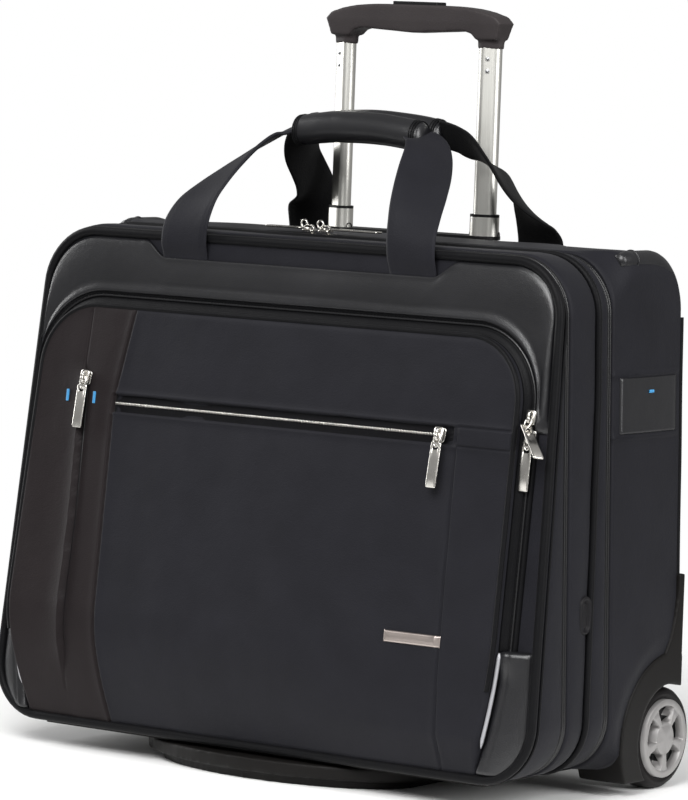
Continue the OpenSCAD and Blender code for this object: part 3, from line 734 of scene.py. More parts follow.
# ---- Organiser pocket ----------------------------------------------------------------
# The raised pocket: flat padded nylon panels joined by two long seams, with a folded
# flap over the upright zip and a sunk channel for the metal zip across it.
pocket_left, pocket_right, pocket_h, pocket_r = -208.0, 199.0, 294.0, 45.0
belly, belly_top, belly_at = 25.0, 10.0, 0.28
zip_s, zip_half_h = 225.0, 6.2
zip_x0, zip_x1 = -137.0, 150.0


def bulge(s):
    """How far the pocket's face stands out at a height up the panel."""
    t = np.asarray(s, float) / pocket_h
    return np.where(t < belly_at, belly * np.sin(np.clip(t / belly_at, 0, 1) * math.pi / 2),
                    belly - (belly - belly_top) * (t - belly_at) / (1 - belly_at))


def stand_out(x, s):
    """The pocket's face over the panel: its right half is packed flatter."""
    full = bulge(s)
    return full - smooth(x, 20, pocket_right) * np.maximum(full - 12.5, 0)


def side_at(s, edge_x, inward):
    """Where the pocket's side is at a height: drawn in at the foot, round at the top."""
    foot = 13 * np.clip(1 - s / 92, 0, 1) ** 1.8
    rise = np.clip((s - pocket_h + pocket_r) / pocket_r, 0, 1)
    return edge_x + inward * (foot + pocket_r * (1 - np.sqrt(1 - rise ** 2)))


def left_seam(s):
    """The long seam right of the flap, x at a height s."""
    return np.interp(s, (0, 61, 146, 226, 294), (-121, -127, -132, -137, -128))


def right_seam(s):
    """The seam that runs down from the zip's right end."""
    return np.interp(s, (0, 60, 125, 228), (160, 157, 155, 153))


def flap_line(s):
    """The fold of the flap over the upright zip."""
    return np.interp(s, (34, 142, 199, 246, 294), (-157, -160, -164, -167, -167))


def ridge(d, width):
    """1 on a line and 0 away from it."""
    return np.exp(-(d / width) ** 2)


def face_height(x, s, edge_gap):
    """The pocket's face over the panel, with its seams, flap, channel and slack."""
    t = np.clip(edge_gap / 4.0, 0, 1)
    high = stand_out(x, s) * np.sqrt(1 - (1 - t) ** 2.4)
    inside = smooth(edge_gap, 1.5, 6)
    left, right_x, fold = left_seam(s), right_seam(s), flap_line(s)
    relief = -2.6 * ridge(x - left, 0.9) + 0.9 * ridge(x - left, 4.5)
    under = smooth(s, zip_s + 1, zip_s - 4)
    relief += under * (-2.0 * ridge(x - right_x, 1.0) + 0.7 * ridge(x - right_x, 4.0))
    open_part = smooth(s, 30, 52) * smooth(s, 252, 236)
    side = x - fold
    flap = np.where(side < 0, 2.6 * np.exp(np.minimum(side, 0) / 7),
                    -4.2 * np.exp(-np.maximum(side, 0) / 5.0))
    relief += open_part * flap + (1 - open_part) * -1.0 * ridge(side, 0.8) * smooth(s, 18, 30)
    channel = smooth(np.abs(s - zip_s), zip_half_h + 0.5, zip_half_h - 0.5)
    channel *= smooth(x, zip_x0 - 0.8, zip_x0 + 0.4) * smooth(x, zip_x1 + 1, zip_x1 - 0.5)
    lips = ridge(np.abs(s - zip_s) - zip_half_h - 1.2, 1.3) * smooth(x, zip_x0 - 2, zip_x0 + 1)
    lips *= smooth(x, 199, 190)
    relief += -3.4 * channel + 0.8 * lips * (1 - channel)
    pleat = smooth(x, 153, 156) * smooth(np.abs(s - zip_s), 6.4, 5.4)
    relief += 0.9 * pleat - 1.2 * smooth(x, 153, 156) * ridge(np.abs(s - zip_s) - 6.6, 0.8)
    puff = 1.3 * np.sin(math.pi * np.clip((x - left) / (190 - left), 0, 1)) ** 0.7
    puff *= smooth(s, 4, 30) * (1 - 0.75 * ridge(s - zip_s, 16))
    slack = ripple(np.stack([x, s * 0.45, np.zeros_like(x)], -1), 42, 9) * 1.1
    slack += ripple(np.stack([x, s * 0.3, np.zeros_like(x)], -1), 17, 4) * 0.35
    near_flap = ridge(side, 30)
    return high + inside * (relief + puff + slack * (0.55 + 0.6 * near_flap))


def spread(*stretches):
    """Grid lines: each stretch is start, end and step."""
    return np.concatenate([np.arange(a, b - 1e-6, step) for a, b, step in stretches])


pocket_x = spread((-208, -203, 0.8), (-203, -172, 2.2), (-172, -150, 0.9), (-150, -142, 1.6),
                  (-142, -118, 0.75), (-118, 146, 3.0), (146, 162, 1.0), (162, 194, 2.2),
                  (194, 199.01, 0.8))
top_turn = np.radians(np.arange(0, 85, 4.0))
pocket_s = np.concatenate([
    spread((3, 216, 3.0), (216, 234, 0.65), (234, 249, 2.5)),
    pocket_h - pocket_r + pocket_r * np.sin(top_turn[1:])])
grid_x, grid_s = np.meshgrid(pocket_x, pocket_s)
side_l, side_r = side_at(grid_s, pocket_left, 1), side_at(grid_s, pocket_right, -1)
fixed_l, fixed_r = -160.0, 150.0
grid_x = np.where(grid_x < fixed_l,
                  fixed_l + (grid_x - fixed_l) * (side_l - fixed_l) / (pocket_left - fixed_l), grid_x)
grid_x = np.where(grid_x > fixed_r,
                  fixed_r + (grid_x - fixed_r) * (side_r - fixed_r) / (pocket_right - fixed_r), grid_x)
gap_side = np.minimum(grid_x - side_l, side_r - grid_x)
corner_s = pocket_h - pocket_r
corner_x = np.where(grid_x > 0, grid_x - (pocket_right - pocket_r), pocket_left + pocket_r - grid_x)
in_corner = (corner_x > 0) & (grid_s > corner_s)
gap_corner = pocket_r - np.hypot(corner_x, grid_s - corner_s)
edge_gap = np.where(in_corner, gap_corner, np.minimum(gap_side, pocket_h - 0.25 - grid_s))
edge_gap = np.maximum(edge_gap, 0)
face = face_height(grid_x, grid_s, edge_gap)
face_points = on_panel(grid_x, grid_s, face)
under_points = on_panel(grid_x, grid_s, np.minimum(np.maximum(face - 5, -0.3), face - 0.2))
pocket_piece = sheet_piece("organiser_pocket", face_points, under_points, nylon, "front_section")
pocket_piece.data.materials.append(warm_nylon)
quad_x = (grid_x[:-1, :-1] + grid_x[1:, 1:]) / 2
quad_s = (grid_s[:-1, :-1] + grid_s[1:, 1:]) / 2
warm = (quad_x < left_seam(quad_s)).ravel()
choice = np.zeros(len(pocket_piece.data.polygons), np.int32)
choice[:len(warm)] = warm
pocket_piece.data.polygons.foreach_set("material_index", choice)
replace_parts(pocket_piece, "organizer_pocket")


def arch(grow, s_left, s_right, counts=(26, 22, 110, 22, 26)):
    """Points x, s over the pocket's top: up the left side, across and down the right."""
    l, r = pocket_left - grow, pocket_right + grow
    t, rt = pocket_h + grow, pocket_r + grow
    a = np.radians(np.linspace(180, 90, counts[1], endpoint=False))
    b = np.radians(np.linspace(90, 0, counts[3], endpoint=False))
    up_left = np.linspace(s_left, t - rt, counts[0], endpoint=False)
    over = np.linspace(l + rt, r - rt, counts[2], endpoint=False)
    parts = [np.stack([np.full(counts[0], l), up_left], 1),
             np.stack([l + rt + rt * np.cos(a), t - rt + rt * np.sin(a)], 1),
             np.stack([over, np.full(counts[2], t)], 1),
             np.stack([r - rt + rt * np.cos(b), t - rt + rt * np.sin(b)], 1),
             np.stack([np.full(counts[4], r), np.linspace(t - rt, s_right, counts[4])], 1)]
    return np.concatenate(parts)


cord_inset = 1.6
edge_cord = arch(-cord_inset, 60, 60)
drawn_in = np.where(edge_cord[:, 0] > 0,
                    side_at(edge_cord[:, 1], pocket_right, -1) - cord_inset,
                    side_at(edge_cord[:, 1], pocket_left, 1) + cord_inset)
edge_cord[:, 0] = np.where(edge_cord[:, 1] < 92, drawn_in, edge_cord[:, 0])
edge_line = on_panel(*edge_cord.T, stand_out(*edge_cord.T) * 0.93 - 0.4)
roll("pocket_piping", edge_line, 1.8, piping_cloth, "front_section", sides=10,
             flange=panel_out)

# The organiser zip lies on a sloping strip between the pocket's edge and the panel.
strip_foot = 84.0
strip_profile = ((10.6, 0.0, 0.2), (10.3, 0.0, 1.4), (9.0, 0.02, 2.3), (7.8, 0.03, 2.1),
                 (7.2, 0.04, 1.2), (4.8, 0.05, 1.1), (4.1, 0.07, 1.3), (3.6, 0.1, 2.0),
                 (2.0, 0.16, 1.8), (0.6, 0.3, 1.2), (-0.6, 0.5, 0.2))
strip_rows = []
for w, share, lift in strip_profile:
    line = arch(w, strip_foot, strip_foot)
    high = stand_out(line[:, 0], np.minimum(line[:, 1], pocket_h))
    strip_rows.append(on_panel(line[:, 0], line[:, 1], high * share + lift))
strip_under = [on_panel(*arch(w, strip_foot, strip_foot).T, -0.6) for w, _, _ in strip_profile]
strip = sheet_piece("organiser_zip_strip", np.array(strip_rows)[::-1], np.array(strip_under)[::-1],
                    piping_cloth, "front_section")
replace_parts(strip, "organizer_zip")
coil_line = arch(6.0, strip_foot, strip_foot, (100, 50, 220, 50, 100))
coil_lump = 1.2 + 0.22 * np.cos(math.pi * np.arange(len(coil_line)))
coil_under = stand_out(coil_line[:, 0], np.minimum(coil_line[:, 1], pocket_h))
roll("organiser_zip_coil", on_panel(*coil_line.T, 0.05 * coil_under + 1.0), coil_lump,
             coil_nylon, "front_section", sides=6, flange=panel_out)

# ---- Leather yoke and corner patches -----------------------------------------------
# Soft calf, turned under and stitched: the yoke fills the top of the panel, dips
# between the handles, and folds over the organiser zip at its lower edge.
yoke_left, yoke_right = 266.0, 232.0
inner_edge = arch(8.6, yoke_left, yoke_right, (14, 26, 130, 26, 14))
outer_side = 4.2
outer_left = np.linspace(yoke_left, panel_h - corner_r, 14, endpoint=False)


def half_at(s):
    """Half the panel's width at a height s."""
    return half_low + (half_top - half_low) * (s - low_r) / (panel_h - corner_r - low_r)


def top_dip(x):
    """The yoke's top edge: under the piping, then an S down between the handles."""
    return panel_h - outer_side - 11.5 * smooth(np.abs(x), 134, 114)


turn_l = np.radians(np.linspace(180, 90, 26, endpoint=False))
turn_r = np.radians(np.linspace(90, 0, 26, endpoint=False))
yoke_bend_r = corner_r - outer_side
centre_x, centre_s = half_top - corner_r, panel_h - corner_r
across_x = np.linspace(-centre_x, centre_x, 130, endpoint=False)
outer_right = np.linspace(centre_s, yoke_right, 14)
outer_edge = np.concatenate([
    np.stack([-half_at(outer_left) + outer_side, outer_left], 1),
    np.stack([-centre_x + yoke_bend_r * np.cos(turn_l), centre_s + yoke_bend_r * np.sin(turn_l)], 1),
    np.stack([across_x, top_dip(across_x)], 1),
    np.stack([centre_x + yoke_bend_r * np.cos(turn_r), centre_s + yoke_bend_r * np.sin(turn_r)], 1),
    np.stack([half_at(outer_right) - outer_side, outer_right], 1)])


def leather_sheet(name, inner, outer_line, fold, reach, edge_lift, body, seed):
    """Leather between two lines on the panel: fold is its height over the inner one,
    and reach is how far from there it takes to settle on the panel."""
    across = np.concatenate([[0, 0.012, 0.035, 0.07], np.linspace(0.12, 0.88, 16),
                             [0.93, 0.965, 0.985, 1]])
    along = np.linspace(0, 1, len(inner))
    ends_hold = smooth(along, 0, 0.012) * smooth(along, 1, 0.988)
    top, low = [], []
    for f in across:
        line = inner * (1 - f) + outer_line * f
        width = np.linalg.norm(outer_line - inner, axis=1)
        near, far = f * width, (1 - f) * width
        lift = 0.3 + 1.3 * smooth(near, -0.5, 1.0) * smooth(far, -0.5, 1.2)
        lift = (lift + fold * np.exp(-(near / reach) ** 2)
                + edge_lift(line[:, 0]) * np.exp(-(far / 2.5) ** 2))
        lift += 2.2 * np.sin(math.pi * f) ** 0.8 - 0.5 * ridge(near - 7.5, 0.8)
        slack = ripple(np.stack([line[:, 0] * 0.6, line[:, 1], 0 * line[:, 0]], -1), 38, seed) * 1.2
        lift = lift * (0.3 + 0.7 * ends_hold) + slack * math.sin(math.pi * f) * ends_hold
        top.append(on_panel(line[:, 0], line[:, 1], np.maximum(lift, 0.35)))
        low.append(on_panel(line[:, 0], line[:, 1], -0.2))
    made = sheet_piece(name, np.array(top)[::-1], np.array(low)[::-1], calf, body)
    return made


yoke = leather_sheet("leather_yoke", inner_edge, outer_edge,
                     2.3 + 0 * inner_edge[:, 1], 5.0,
                     lambda x: (0.9 * smooth(np.abs(x), 140, 120)
                                - 0.9 * smooth(np.abs(x), 120, 140)),
                     "front_section", 12)
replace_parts(yoke, "yoke")

patch_top = 88.0
for side, word in ((1, "right"), (-1, "left")):
    s_line = np.concatenate([np.linspace(patch_top, 30, 26), np.linspace(28, 4, 16)])
    pocket_x_line = side_at(s_line, pocket_right if side > 0 else pocket_left, -side)
    inner = np.stack([pocket_x_line + side * 0.2, s_line], 1)
    drop = np.clip((low_r - s_line) / low_r, 0, 1)
    edge_x = np.where(s_line > low_r, half_at(s_line) - outer_side, half_low - low_r
                      + (low_r - outer_side) * np.sqrt(np.maximum(1 - drop ** 2, 0)))
    outer_line = np.stack([side * np.maximum(edge_x, np.abs(inner[:, 0]) + 1.2), s_line], 1)
    if side < 0:
        inner, outer_line = inner[::-1], outer_line[::-1]
    over_zip = 1.6 + 3.0 * smooth(inner[:, 1], 66, 84)
    patch = leather_sheet(f"corner_patch_{word}", inner[::-1], outer_line[::-1], over_zip[::-1],
                          11.0, lambda x: -0.6 + 0 * x, "front_section", 20 + side)
    if side > 0:
        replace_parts(patch, "corner_patches")

# The reflective piping is a grey tape with glass beads, rolled along the pocket's foot.
reflective, reflective_output = new_material("glass-bead reflective tape")
reflective_place = add(reflective, "ShaderNodeTexCoord")
beads = add(reflective, "ShaderNodeTexVoronoi",
            {"Vector": reflective_place.outputs["Object"], "Scale": 2500.0})
bead_bump = add(reflective, "ShaderNodeBump", {"Height": beads.outputs["Distance"],
                                              "Strength": 0.3, "Distance": 0.0002})
bead_tone = add(reflective, "ShaderNodeMapRange", {"Value": beads.outputs["Distance"],
                                                  "To Min": 0.28, "To Max": 0.42})
reflective_shader = add(reflective, "ShaderNodeBsdfPrincipled",
                        {"Base Color": linear("#a4a4a8"), "Roughness": bead_tone.outputs["Result"],
                         "Metallic": 0.35, "Normal": bead_bump.outputs["Normal"]})
finish_material(reflective, reflective_output, reflective_shader)
for side, word in ((1, "right"), (-1, "left")):
    s_line = np.linspace(86, 22, 40)
    x_line = side_at(s_line, pocket_right if side > 0 else pocket_left, -side) + side * 0.9
    along = np.linspace(0, 1, 40)
    thick = 1.35 * smooth(along, -0.05, 0.06) * smooth(along, 1.05, 0.9)
    lifted = on_panel(x_line, s_line, stand_out(x_line, s_line) * 0.5 + 0.8)
    made = roll(f"reflective_piping_{word}", lifted, thick, reflective, "front_section",
                sides=12, flange=panel_out)
    if side > 0:
        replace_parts(made, "reflective_piping")

# ---- Zips across and down the pocket -----------------------------------------------
# The zip across has cast metal teeth on a black tape; the upright one is a coil zip
# that lies in the shadow of the flap.
# Polished nickel on zinc: bright, a touch warm, with hand marks that dull it in places.
bright_metal, bright_output = new_material("polished nickel-plated zinc")
bright_place = add(bright_metal, "ShaderNodeTexCoord")
bright_wear = add(bright_metal, "ShaderNodeTexNoise",
                  {"Vector": bright_place.outputs["Object"], "Scale": 160.0, "Detail": 4.0})
bright_rough = add(bright_metal, "ShaderNodeMapRange",
                   {"Value": bright_wear.outputs["Fac"], "To Min": 0.16, "To Max": 0.34})
bright_shader = add(bright_metal, "ShaderNodeBsdfPrincipled",
                    {"Base Color": linear("#d4d1cb"), "Metallic": 1.0,
                     "Roughness": bright_rough.outputs["Result"]})
finish_material(bright_metal, bright_output, bright_shader)
tooth_pitch, tooth_x1 = 1.3, 141.0
teeth = []
up_panel = on_panel(0, 1) - on_panel(0, 0)
for i, x in enumerate(np.arange(zip_x0 + 1.5, tooth_x1, tooth_pitch)):
    s_at = zip_s + (0.15 if i % 2 else -0.15)
    teeth.append(bead(on_panel(x, s_at, stand_out(x, s_at) - 1.55), up_panel, panel_out,
                      2.2, 1.0, 1.3, 4, 6))
teeth_piece = joined("cross_zip_teeth", teeth, bright_metal, "front_section")
tape_x = np.linspace(zip_x0 - 0.5, zip_x1 + 0.5, 60)
tape_s = zip_s + np.array([-6.4, -5.6, -4, -2, -1.2, 0, 1.2, 2, 4, 5.6, 6.4])
gx, gs = np.meshgrid(tape_x, tape_s)
rise = (0.55 * ridge(np.abs(gs - zip_s) - 1.6, 0.9)
        + 0.02 * ripple(np.stack([gx, gs, gx * 0], -1), 6, 2))
tape_front = on_panel(gx, gs, stand_out(gx, gs) - 2.9 + rise)
tape_back = on_panel(gx, gs, stand_out(gx, gs) - 3.9)
tape = sheet_piece("cross_zip_tape", tape_front, tape_back, tape_cloth, "front_section")
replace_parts(tape, "cross_zip")
up_s = np.arange(38, 246, 0.75)
up_line = on_panel(flap_line(up_s) + 2.4, up_s, bulge(up_s) - 3.4)
lump = 1.1 + 0.22 * np.cos(math.pi * np.arange(len(up_line)))
upright = roll("vertical_zip_coil", up_line, lump, coil_nylon, "front_section", sides=6,
               flange=panel_out)
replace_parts(upright, "vertical_zip")
for x, word in ((-178.0, "left"), (-154.5, "right")):
    lift = face_height(np.array([x]), np.array([227.5]), np.array([20.0]))[0]
    bar_tack(f"flap_tack_{word}", on_panel(x, 227.5, lift), up_panel, panel_out, "front_section",
             8.5, 2.6)

# ---- Badge ---------------------------------------------------------------------------
# A blank plate of satin nickel, 42 by 8 mm, stamped with a bevel and slightly domed.
# Satin nickel is brushed along its length: a soft streak, warmer than the zip pulls.
satin_nickel, satin_output = new_material("satin-brushed nickel plate")
satin_place = add(satin_nickel, "ShaderNodeTexCoord")
satin_stretch = add(satin_nickel, "ShaderNodeMapping", {"Vector": satin_place.outputs["Object"],
                                                       "Scale": (40, 900, 900)})
satin_lines = add(satin_nickel, "ShaderNodeTexNoise",
                  {"Vector": satin_stretch.outputs["Vector"], "Scale": 4.0, "Detail": 3.0})
satin_rough = add(satin_nickel, "ShaderNodeMapRange",
                  {"Value": satin_lines.outputs["Fac"], "To Min": 0.28, "To Max": 0.45})
satin_bump = add(satin_nickel, "ShaderNodeBump", {"Height": satin_lines.outputs["Fac"],
                                                 "Strength": 0.12, "Distance": 0.0002})
satin_shader = add(satin_nickel, "ShaderNodeBsdfPrincipled",
                   {"Base Color": linear("#b9aea8"), "Metallic": 1.0,
                    "Roughness": satin_rough.outputs["Result"],
                    "Normal": satin_bump.outputs["Normal"]})
finish_material(satin_nickel, satin_output, satin_shader)
plate_low, plate_high = (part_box("badge")[k] * 1000 for k in (0, 1))
badge_s = 88.5
px = np.linspace(plate_low.x, plate_high.x, 46)
ps = np.linspace(badge_s - 4, badge_s + 4, 18)
gx, gs = np.meshgrid(px, ps)
border = np.minimum(np.minimum(gx - px[0], px[-1] - gx), np.minimum(gs - ps[0], ps[-1] - gs))
seat = face_height(gx, gs, np.full(gx.shape, 20.0))
seat = seat.mean(0, keepdims=True) + 0 * seat
dome = 0.5 + 1.0 * smooth(border, -0.2, 0.9) + 0.25 * smooth(border, 0.5, 4)
badge = sheet_piece("badge_plate", on_panel(gx, gs, seat + dome), on_panel(gx, gs, seat - 0.8),
                    satin_nickel, "front_section")
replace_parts(badge, "badge")

# ---- Charging port -------------------------------------------------------------------
# A soft rubber surround with a thin lip, moulded round a slot that a cable passes.
def moulded(name, colour, rough, grit_mm, coarse, **settings):
    """A moulded plastic or rubber: spark-eroded grain and a slow change of gloss."""
    material, output = new_material(name)
    place = add(material, "ShaderNodeTexCoord")
    grit = add(material, "ShaderNodeTexNoise",
               {"Vector": place.outputs["Object"], "Scale": 1000 / grit_mm, "Detail": 2.0})
    haze = add(material, "ShaderNodeTexNoise",
               {"Vector": place.outputs["Object"], "Scale": 25.0, "Detail": 5.0})
    shade = add(material, "ShaderNodeMix", {"Factor": haze.outputs["Fac"]}, data_type="RGBA")
    shade.inputs["A"].default_value = linear(colour[0])
    shade.inputs["B"].default_value = linear(colour[1])
    gloss = add(material, "ShaderNodeMapRange",
                {"Value": haze.outputs["Fac"], "To Min": rough - 0.07, "To Max": rough + 0.07})
    grain = add(material, "ShaderNodeBump", {"Height": grit.outputs["Fac"], "Strength": coarse,
                                            "Distance": 0.0003})
    shader = add(material, "ShaderNodeBsdfPrincipled",
                 {"Base Color": shade.outputs["Result"], "Roughness": gloss.outputs["Result"],
                  "Normal": grain.outputs["Normal"], "Specular IOR Level": 0.16, **settings})
    return finish_material(material, output, shader)


# Moulded rubber: matt and a shade lighter than the cloth round it.
rubber = moulded("moulded rubber", ("#131214", "#1a191b"), 0.5, 0.8, 0.25, IOR=1.52)
port_low, port_high = (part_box("usb_port")[k] * 1000 for k in (0, 1))
port_y, port_z = (port_low.y + port_high.y) / 2 - front_y, (port_low.z + port_high.z) / 2
port_half, port_r = (port_high.z - port_low.z) / 2, (port_high.y - port_low.y) / 2


def stadium(grow):
    """An upright slot outline round the port's centre, as y and z."""
    r = port_r + grow
    turn = np.linspace(0, 2 * math.pi, 48, endpoint=False)
    straight = (port_half - port_r) * np.sign(np.sin(turn)) * np.minimum(np.abs(np.sin(turn)) * 4, 1)
    return port_y + r * np.cos(turn), port_z + r * np.sin(turn) + straight


port_rows = []
port_x = half_low - (half_low - half_top) * (port_z - base_z - low_r) / 266
for grow, lift in ((0.6, -3.5), (0.6, -0.2), (0.1, 0.9), (-0.8, 1.3), (-1.7, 1.0), (-2.2, 0.2),
                   (-2.8, -0.5), (-3.6, -0.6), (-4.2, 0.1), (-5.2, 0.3)):
    y, z = stadium(grow)
    port_rows.append(np.stack([np.full(len(y), port_x + 1.6 + lift), y, z], 1))
port = skin("charging_port", np.array(port_rows)[:, ::-1], rubber, "laptop_section",
            poles=(0, -1))
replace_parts(port, "usb_port")

# ---- Carry handles ---------------------------------------------------------------------
# Folded nylon straps with a row of stitches along each edge; where the two ends meet
# they are wrapped in padded leather, closed by a seam below and bound with thread.
def smooth_rows(rows, count):
    """A Catmull-Rom curve through rows of numbers."""
    rows = np.asarray(rows, float)
    padded_rows = np.vstack([2 * rows[0] - rows[1], rows, 2 * rows[-1] - rows[-2]])
    at = np.linspace(0, len(rows) - 1 - 1e-6, count)
    k = at.astype(int)
    t = (at - k)[:, None]
    a, b, c, d = (padded_rows[k + j] for j in range(4))
    return 0.5 * (2 * b + (c - a) * t + (2 * a - 5 * b + 4 * c - d) * t ** 2
                  + (3 * b - a - 3 * c + d) * t ** 3)


def strap_points(rows, thick, side, cup):
    """Rings of points round a flat strap; a row is x, y, z, twist and width."""
    rows = smooth_rows(rows, 76)
    path = rows[:, :3]
    run = np.gradient(path, axis=0)
    run /= np.linalg.norm(run, axis=1)[:, None]
    wide = np.array([1.0, 0, 0]) - run * run[:, :1]
    wide /= np.linalg.norm(wide, axis=1)[:, None]
    flat = np.cross(run, wide)
    twist = np.radians(rows[:, 3:4])
    across = wide * np.cos(twist) + flat * np.sin(twist)
    face = np.cross(run, across)
    w = np.concatenate([np.linspace(-1, 1, 25), np.linspace(1, -1, 25)])
    up = np.concatenate([np.ones(25), -np.ones(25)])
    shape = up * (1 - np.abs(w) ** 16) ** 0.5 * (1 - 0.22 * ridge(np.abs(w) - 0.84, 0.035))
    shape = np.where(np.abs(w) == 1, up * 0.25, shape)
    width = rows[:, 4][:, None, None] / 2
    bow = cup * (1 - w ** 2)[None, :, None] * face[:, None]
    grid = (path[:, None] + across[:, None] * w[None, :, None] * width
            + face[:, None] * shape[None, :, None] * thick / 2 + bow)
    grid[..., 0] *= side
    return grid if side < 0 else grid[:, ::-1]


# Webbing is a thick, tight weave: blacker and coarser than the case's cloth.
webbing = nylon_cloth("black webbing", ("#09090a", "#0e0e0f"), 1.2, 0.7, 0.6)
front_rows = ((97, 35.6, 343, 0, 38), (96.9, 34.6, 350, 0, 38.5), (96.5, 31.7, 360, 0, 39),
              (95.5, 32.9, 373, 2, 39), (92.6, 40.5, 388, 9, 38.5), (87, 53, 402, 19, 38),
              (79.8, 68.5, 416, 28, 37), (72, 83, 428, 34, 34), (63, 93.5, 436, 34, 31),
              (52, 98.5, 440.5, 30, 24))
rear_rows = ((99, 185.2, 352, 0, 38), (99, 185.0, 362, -1, 38), (99.2, 183.3, 371, -3, 38),
             (99.5, 176, 381, -14, 38), (99.5, 163, 392, -34, 38), (98, 150, 403, -50, 37),
             (93, 138, 414, -48, 35), (84, 128.5, 427, -34, 32), (70, 124, 437, -18, 27),
             (54, 122, 441.5, -6, 22))
rear_rows_left = ((99, 185.2, 352, 0, 38), (99, 184.8, 361, -2, 38), (98, 183.3, 372, -12, 37),
                  (94, 179, 385, -40, 36), (89, 172, 396, -64, 34), (85, 162, 406, -78, 33),
                  (82, 151, 416, -78, 32), (77, 140, 426, -58, 30), (67, 130, 435, -30, 27),
                  (54, 122, 441.5, -8, 22))
grip_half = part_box("front_grip")[1].x * 1000
grip_r = (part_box("front_grip")[1].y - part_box("front_grip")[0].y) * 500
for body, both, cloth, node in (
        ("front_handle", (front_rows, front_rows), nylon, "front_webbing"),
        ("rear_handle", (rear_rows, rear_rows_left), webbing, "rear_webbing")):
    for side, word in ((1, "right"), (-1, "left")):
        strap = skin(f"{node}_{word}", strap_points(both[side < 0], 2.8, side, 0.5), cloth, body,
                     poles=(0, -1))
        if side > 0:
            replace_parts(strap, node)


def grip_piece(name, node, body, left_end):
    """A padded leather roll, arched a little, with a seam ridge along its underside."""
    low, high = (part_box(node)[k] * 1000 for k in (0, 1))
    y0, z0 = (low.y + high.y) / 2 - front_y, (low.z + high.z) / 2
    xs = np.concatenate([np.linspace(-1, -0.93, 8), np.linspace(-0.91, 0.91, 56),
                         np.linspace(0.93, 1, 8)])
    turn = np.linspace(0, 2 * math.pi, 48, endpoint=False)
    rings = []

    def reach(f):
        return grip_half * (f if f > 0 else -f * left_end)

    for f in xs:
        end = min((1 - abs(f)) * 14, 1)
        bound = 0.35 * math.cos((1 - abs(f)) * 260) * (abs(f) > 0.9)
        r = grip_r * (0.93 + 0.07 * math.sqrt(1 - abs(f) ** 3)) * (0.82 + 0.18 * end ** 0.5) + bound
        squash_down = 1 - 0.08 * np.clip(-np.sin(turn), 0, 1) ** 2
        seam = 0.9 * np.exp(-((turn - 1.5 * math.pi) / 0.09) ** 2) * end
        lap = -0.35 * np.exp(-((turn - 1.5 * math.pi + 0.22) / 0.05) ** 2)
        radius = r * squash_down + seam + lap
        arch_z = 4.6 * (1 - f ** 2) - 2.6
        rings.append(np.stack([np.full(48, reach(f)), y0 + radius * np.cos(turn),
                               z0 + arch_z + radius * np.sin(turn)], 1))
    rings = np.array(rings)
    rings += (normals(rings) * (ripple(rings, 16, 6) * 0.25)[..., None])
    made = skin(name, rings, calf, body, poles=(0, -1))
    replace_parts(made, node)
    for end in (-1, 1):
        for i in range(3):
            f = end * (0.965 - 0.03 * i)
            x = reach(f)
            ring_r = grip_r * 0.985
            z_ring = z0 + 4.6 * (1 - f ** 2) - 2.6
            ring = [(x, y0 + ring_r * math.cos(t), z_ring + ring_r * math.sin(t) * 0.985)
                    for t in np.linspace(0, 2 * math.pi, 40, endpoint=False)]
            roll(f"{name}_thread_{'left' if end < 0 else 'right'}_{i}", ring, 0.55,
                         piping_cloth, body, closed=True, sides=6, flange=(1, 0, 0))


grip_piece("front_grip_leather", "front_grip", "front_handle", -0.86)
grip_piece("rear_grip_leather", "rear_grip", "rear_handle", -1.0)

# ---- Trolley ---------------------------------------------------------------------------
# Extruded oval tubes of aluminium, satin anodised: a grey metal with fine lines
# along the draw. The collars, feet and bezel are black nylon mouldings.
def metal_finish(name, colour, rough, stretch, line_strength):
    """Metal with fine lines; stretch is how their noise is squeezed along x, y and z."""
    material, output = new_material(name)
    place = add(material, "ShaderNodeTexCoord")
    squeeze = add(material, "ShaderNodeMapping", {"Vector": place.outputs["Object"],
                                                 "Scale": stretch})
    lines = add(material, "ShaderNodeTexNoise",
                {"Vector": squeeze.outputs["Vector"], "Scale": 3.0, "Detail": 4.0})
    tone = add(material, "ShaderNodeMix", {"Factor": lines.outputs["Fac"]}, data_type="RGBA")
    tone.inputs["A"].default_value = linear(colour[0])
    tone.inputs["B"].default_value = linear(colour[1])
    satin = add(material, "ShaderNodeMapRange",
                {"Value": lines.outputs["Fac"], "To Min": rough - 0.07, "To Max": rough + 0.08})
    bump = add(material, "ShaderNodeBump", {"Height": lines.outputs["Fac"],
                                           "Strength": line_strength, "Distance": 0.0002})
    shader = add(material, "ShaderNodeBsdfPrincipled",
                 {"Base Color": tone.outputs["Result"], "Metallic": 1.0,
                  "Roughness": satin.outputs["Result"], "Normal": bump.outputs["Normal"]})
    return finish_material(material, output, shader)


def paint_nodes(material, *names):
    """Gives CAD nodes that stay as they are a finish of their own."""
    for name in names:
        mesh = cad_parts[name].data
        mesh.materials.clear()
        mesh.materials.append(material)


anodised = metal_finish("satin-anodised aluminium", ("#d2d1cb", "#e2e1db"), 0.4,
                        (700, 700, 6), 0.1)
paint_nodes(anodised, "outer_tubes", "middle_tube_left", "middle_tube_right",
            "inner_tube_left", "inner_tube_right")
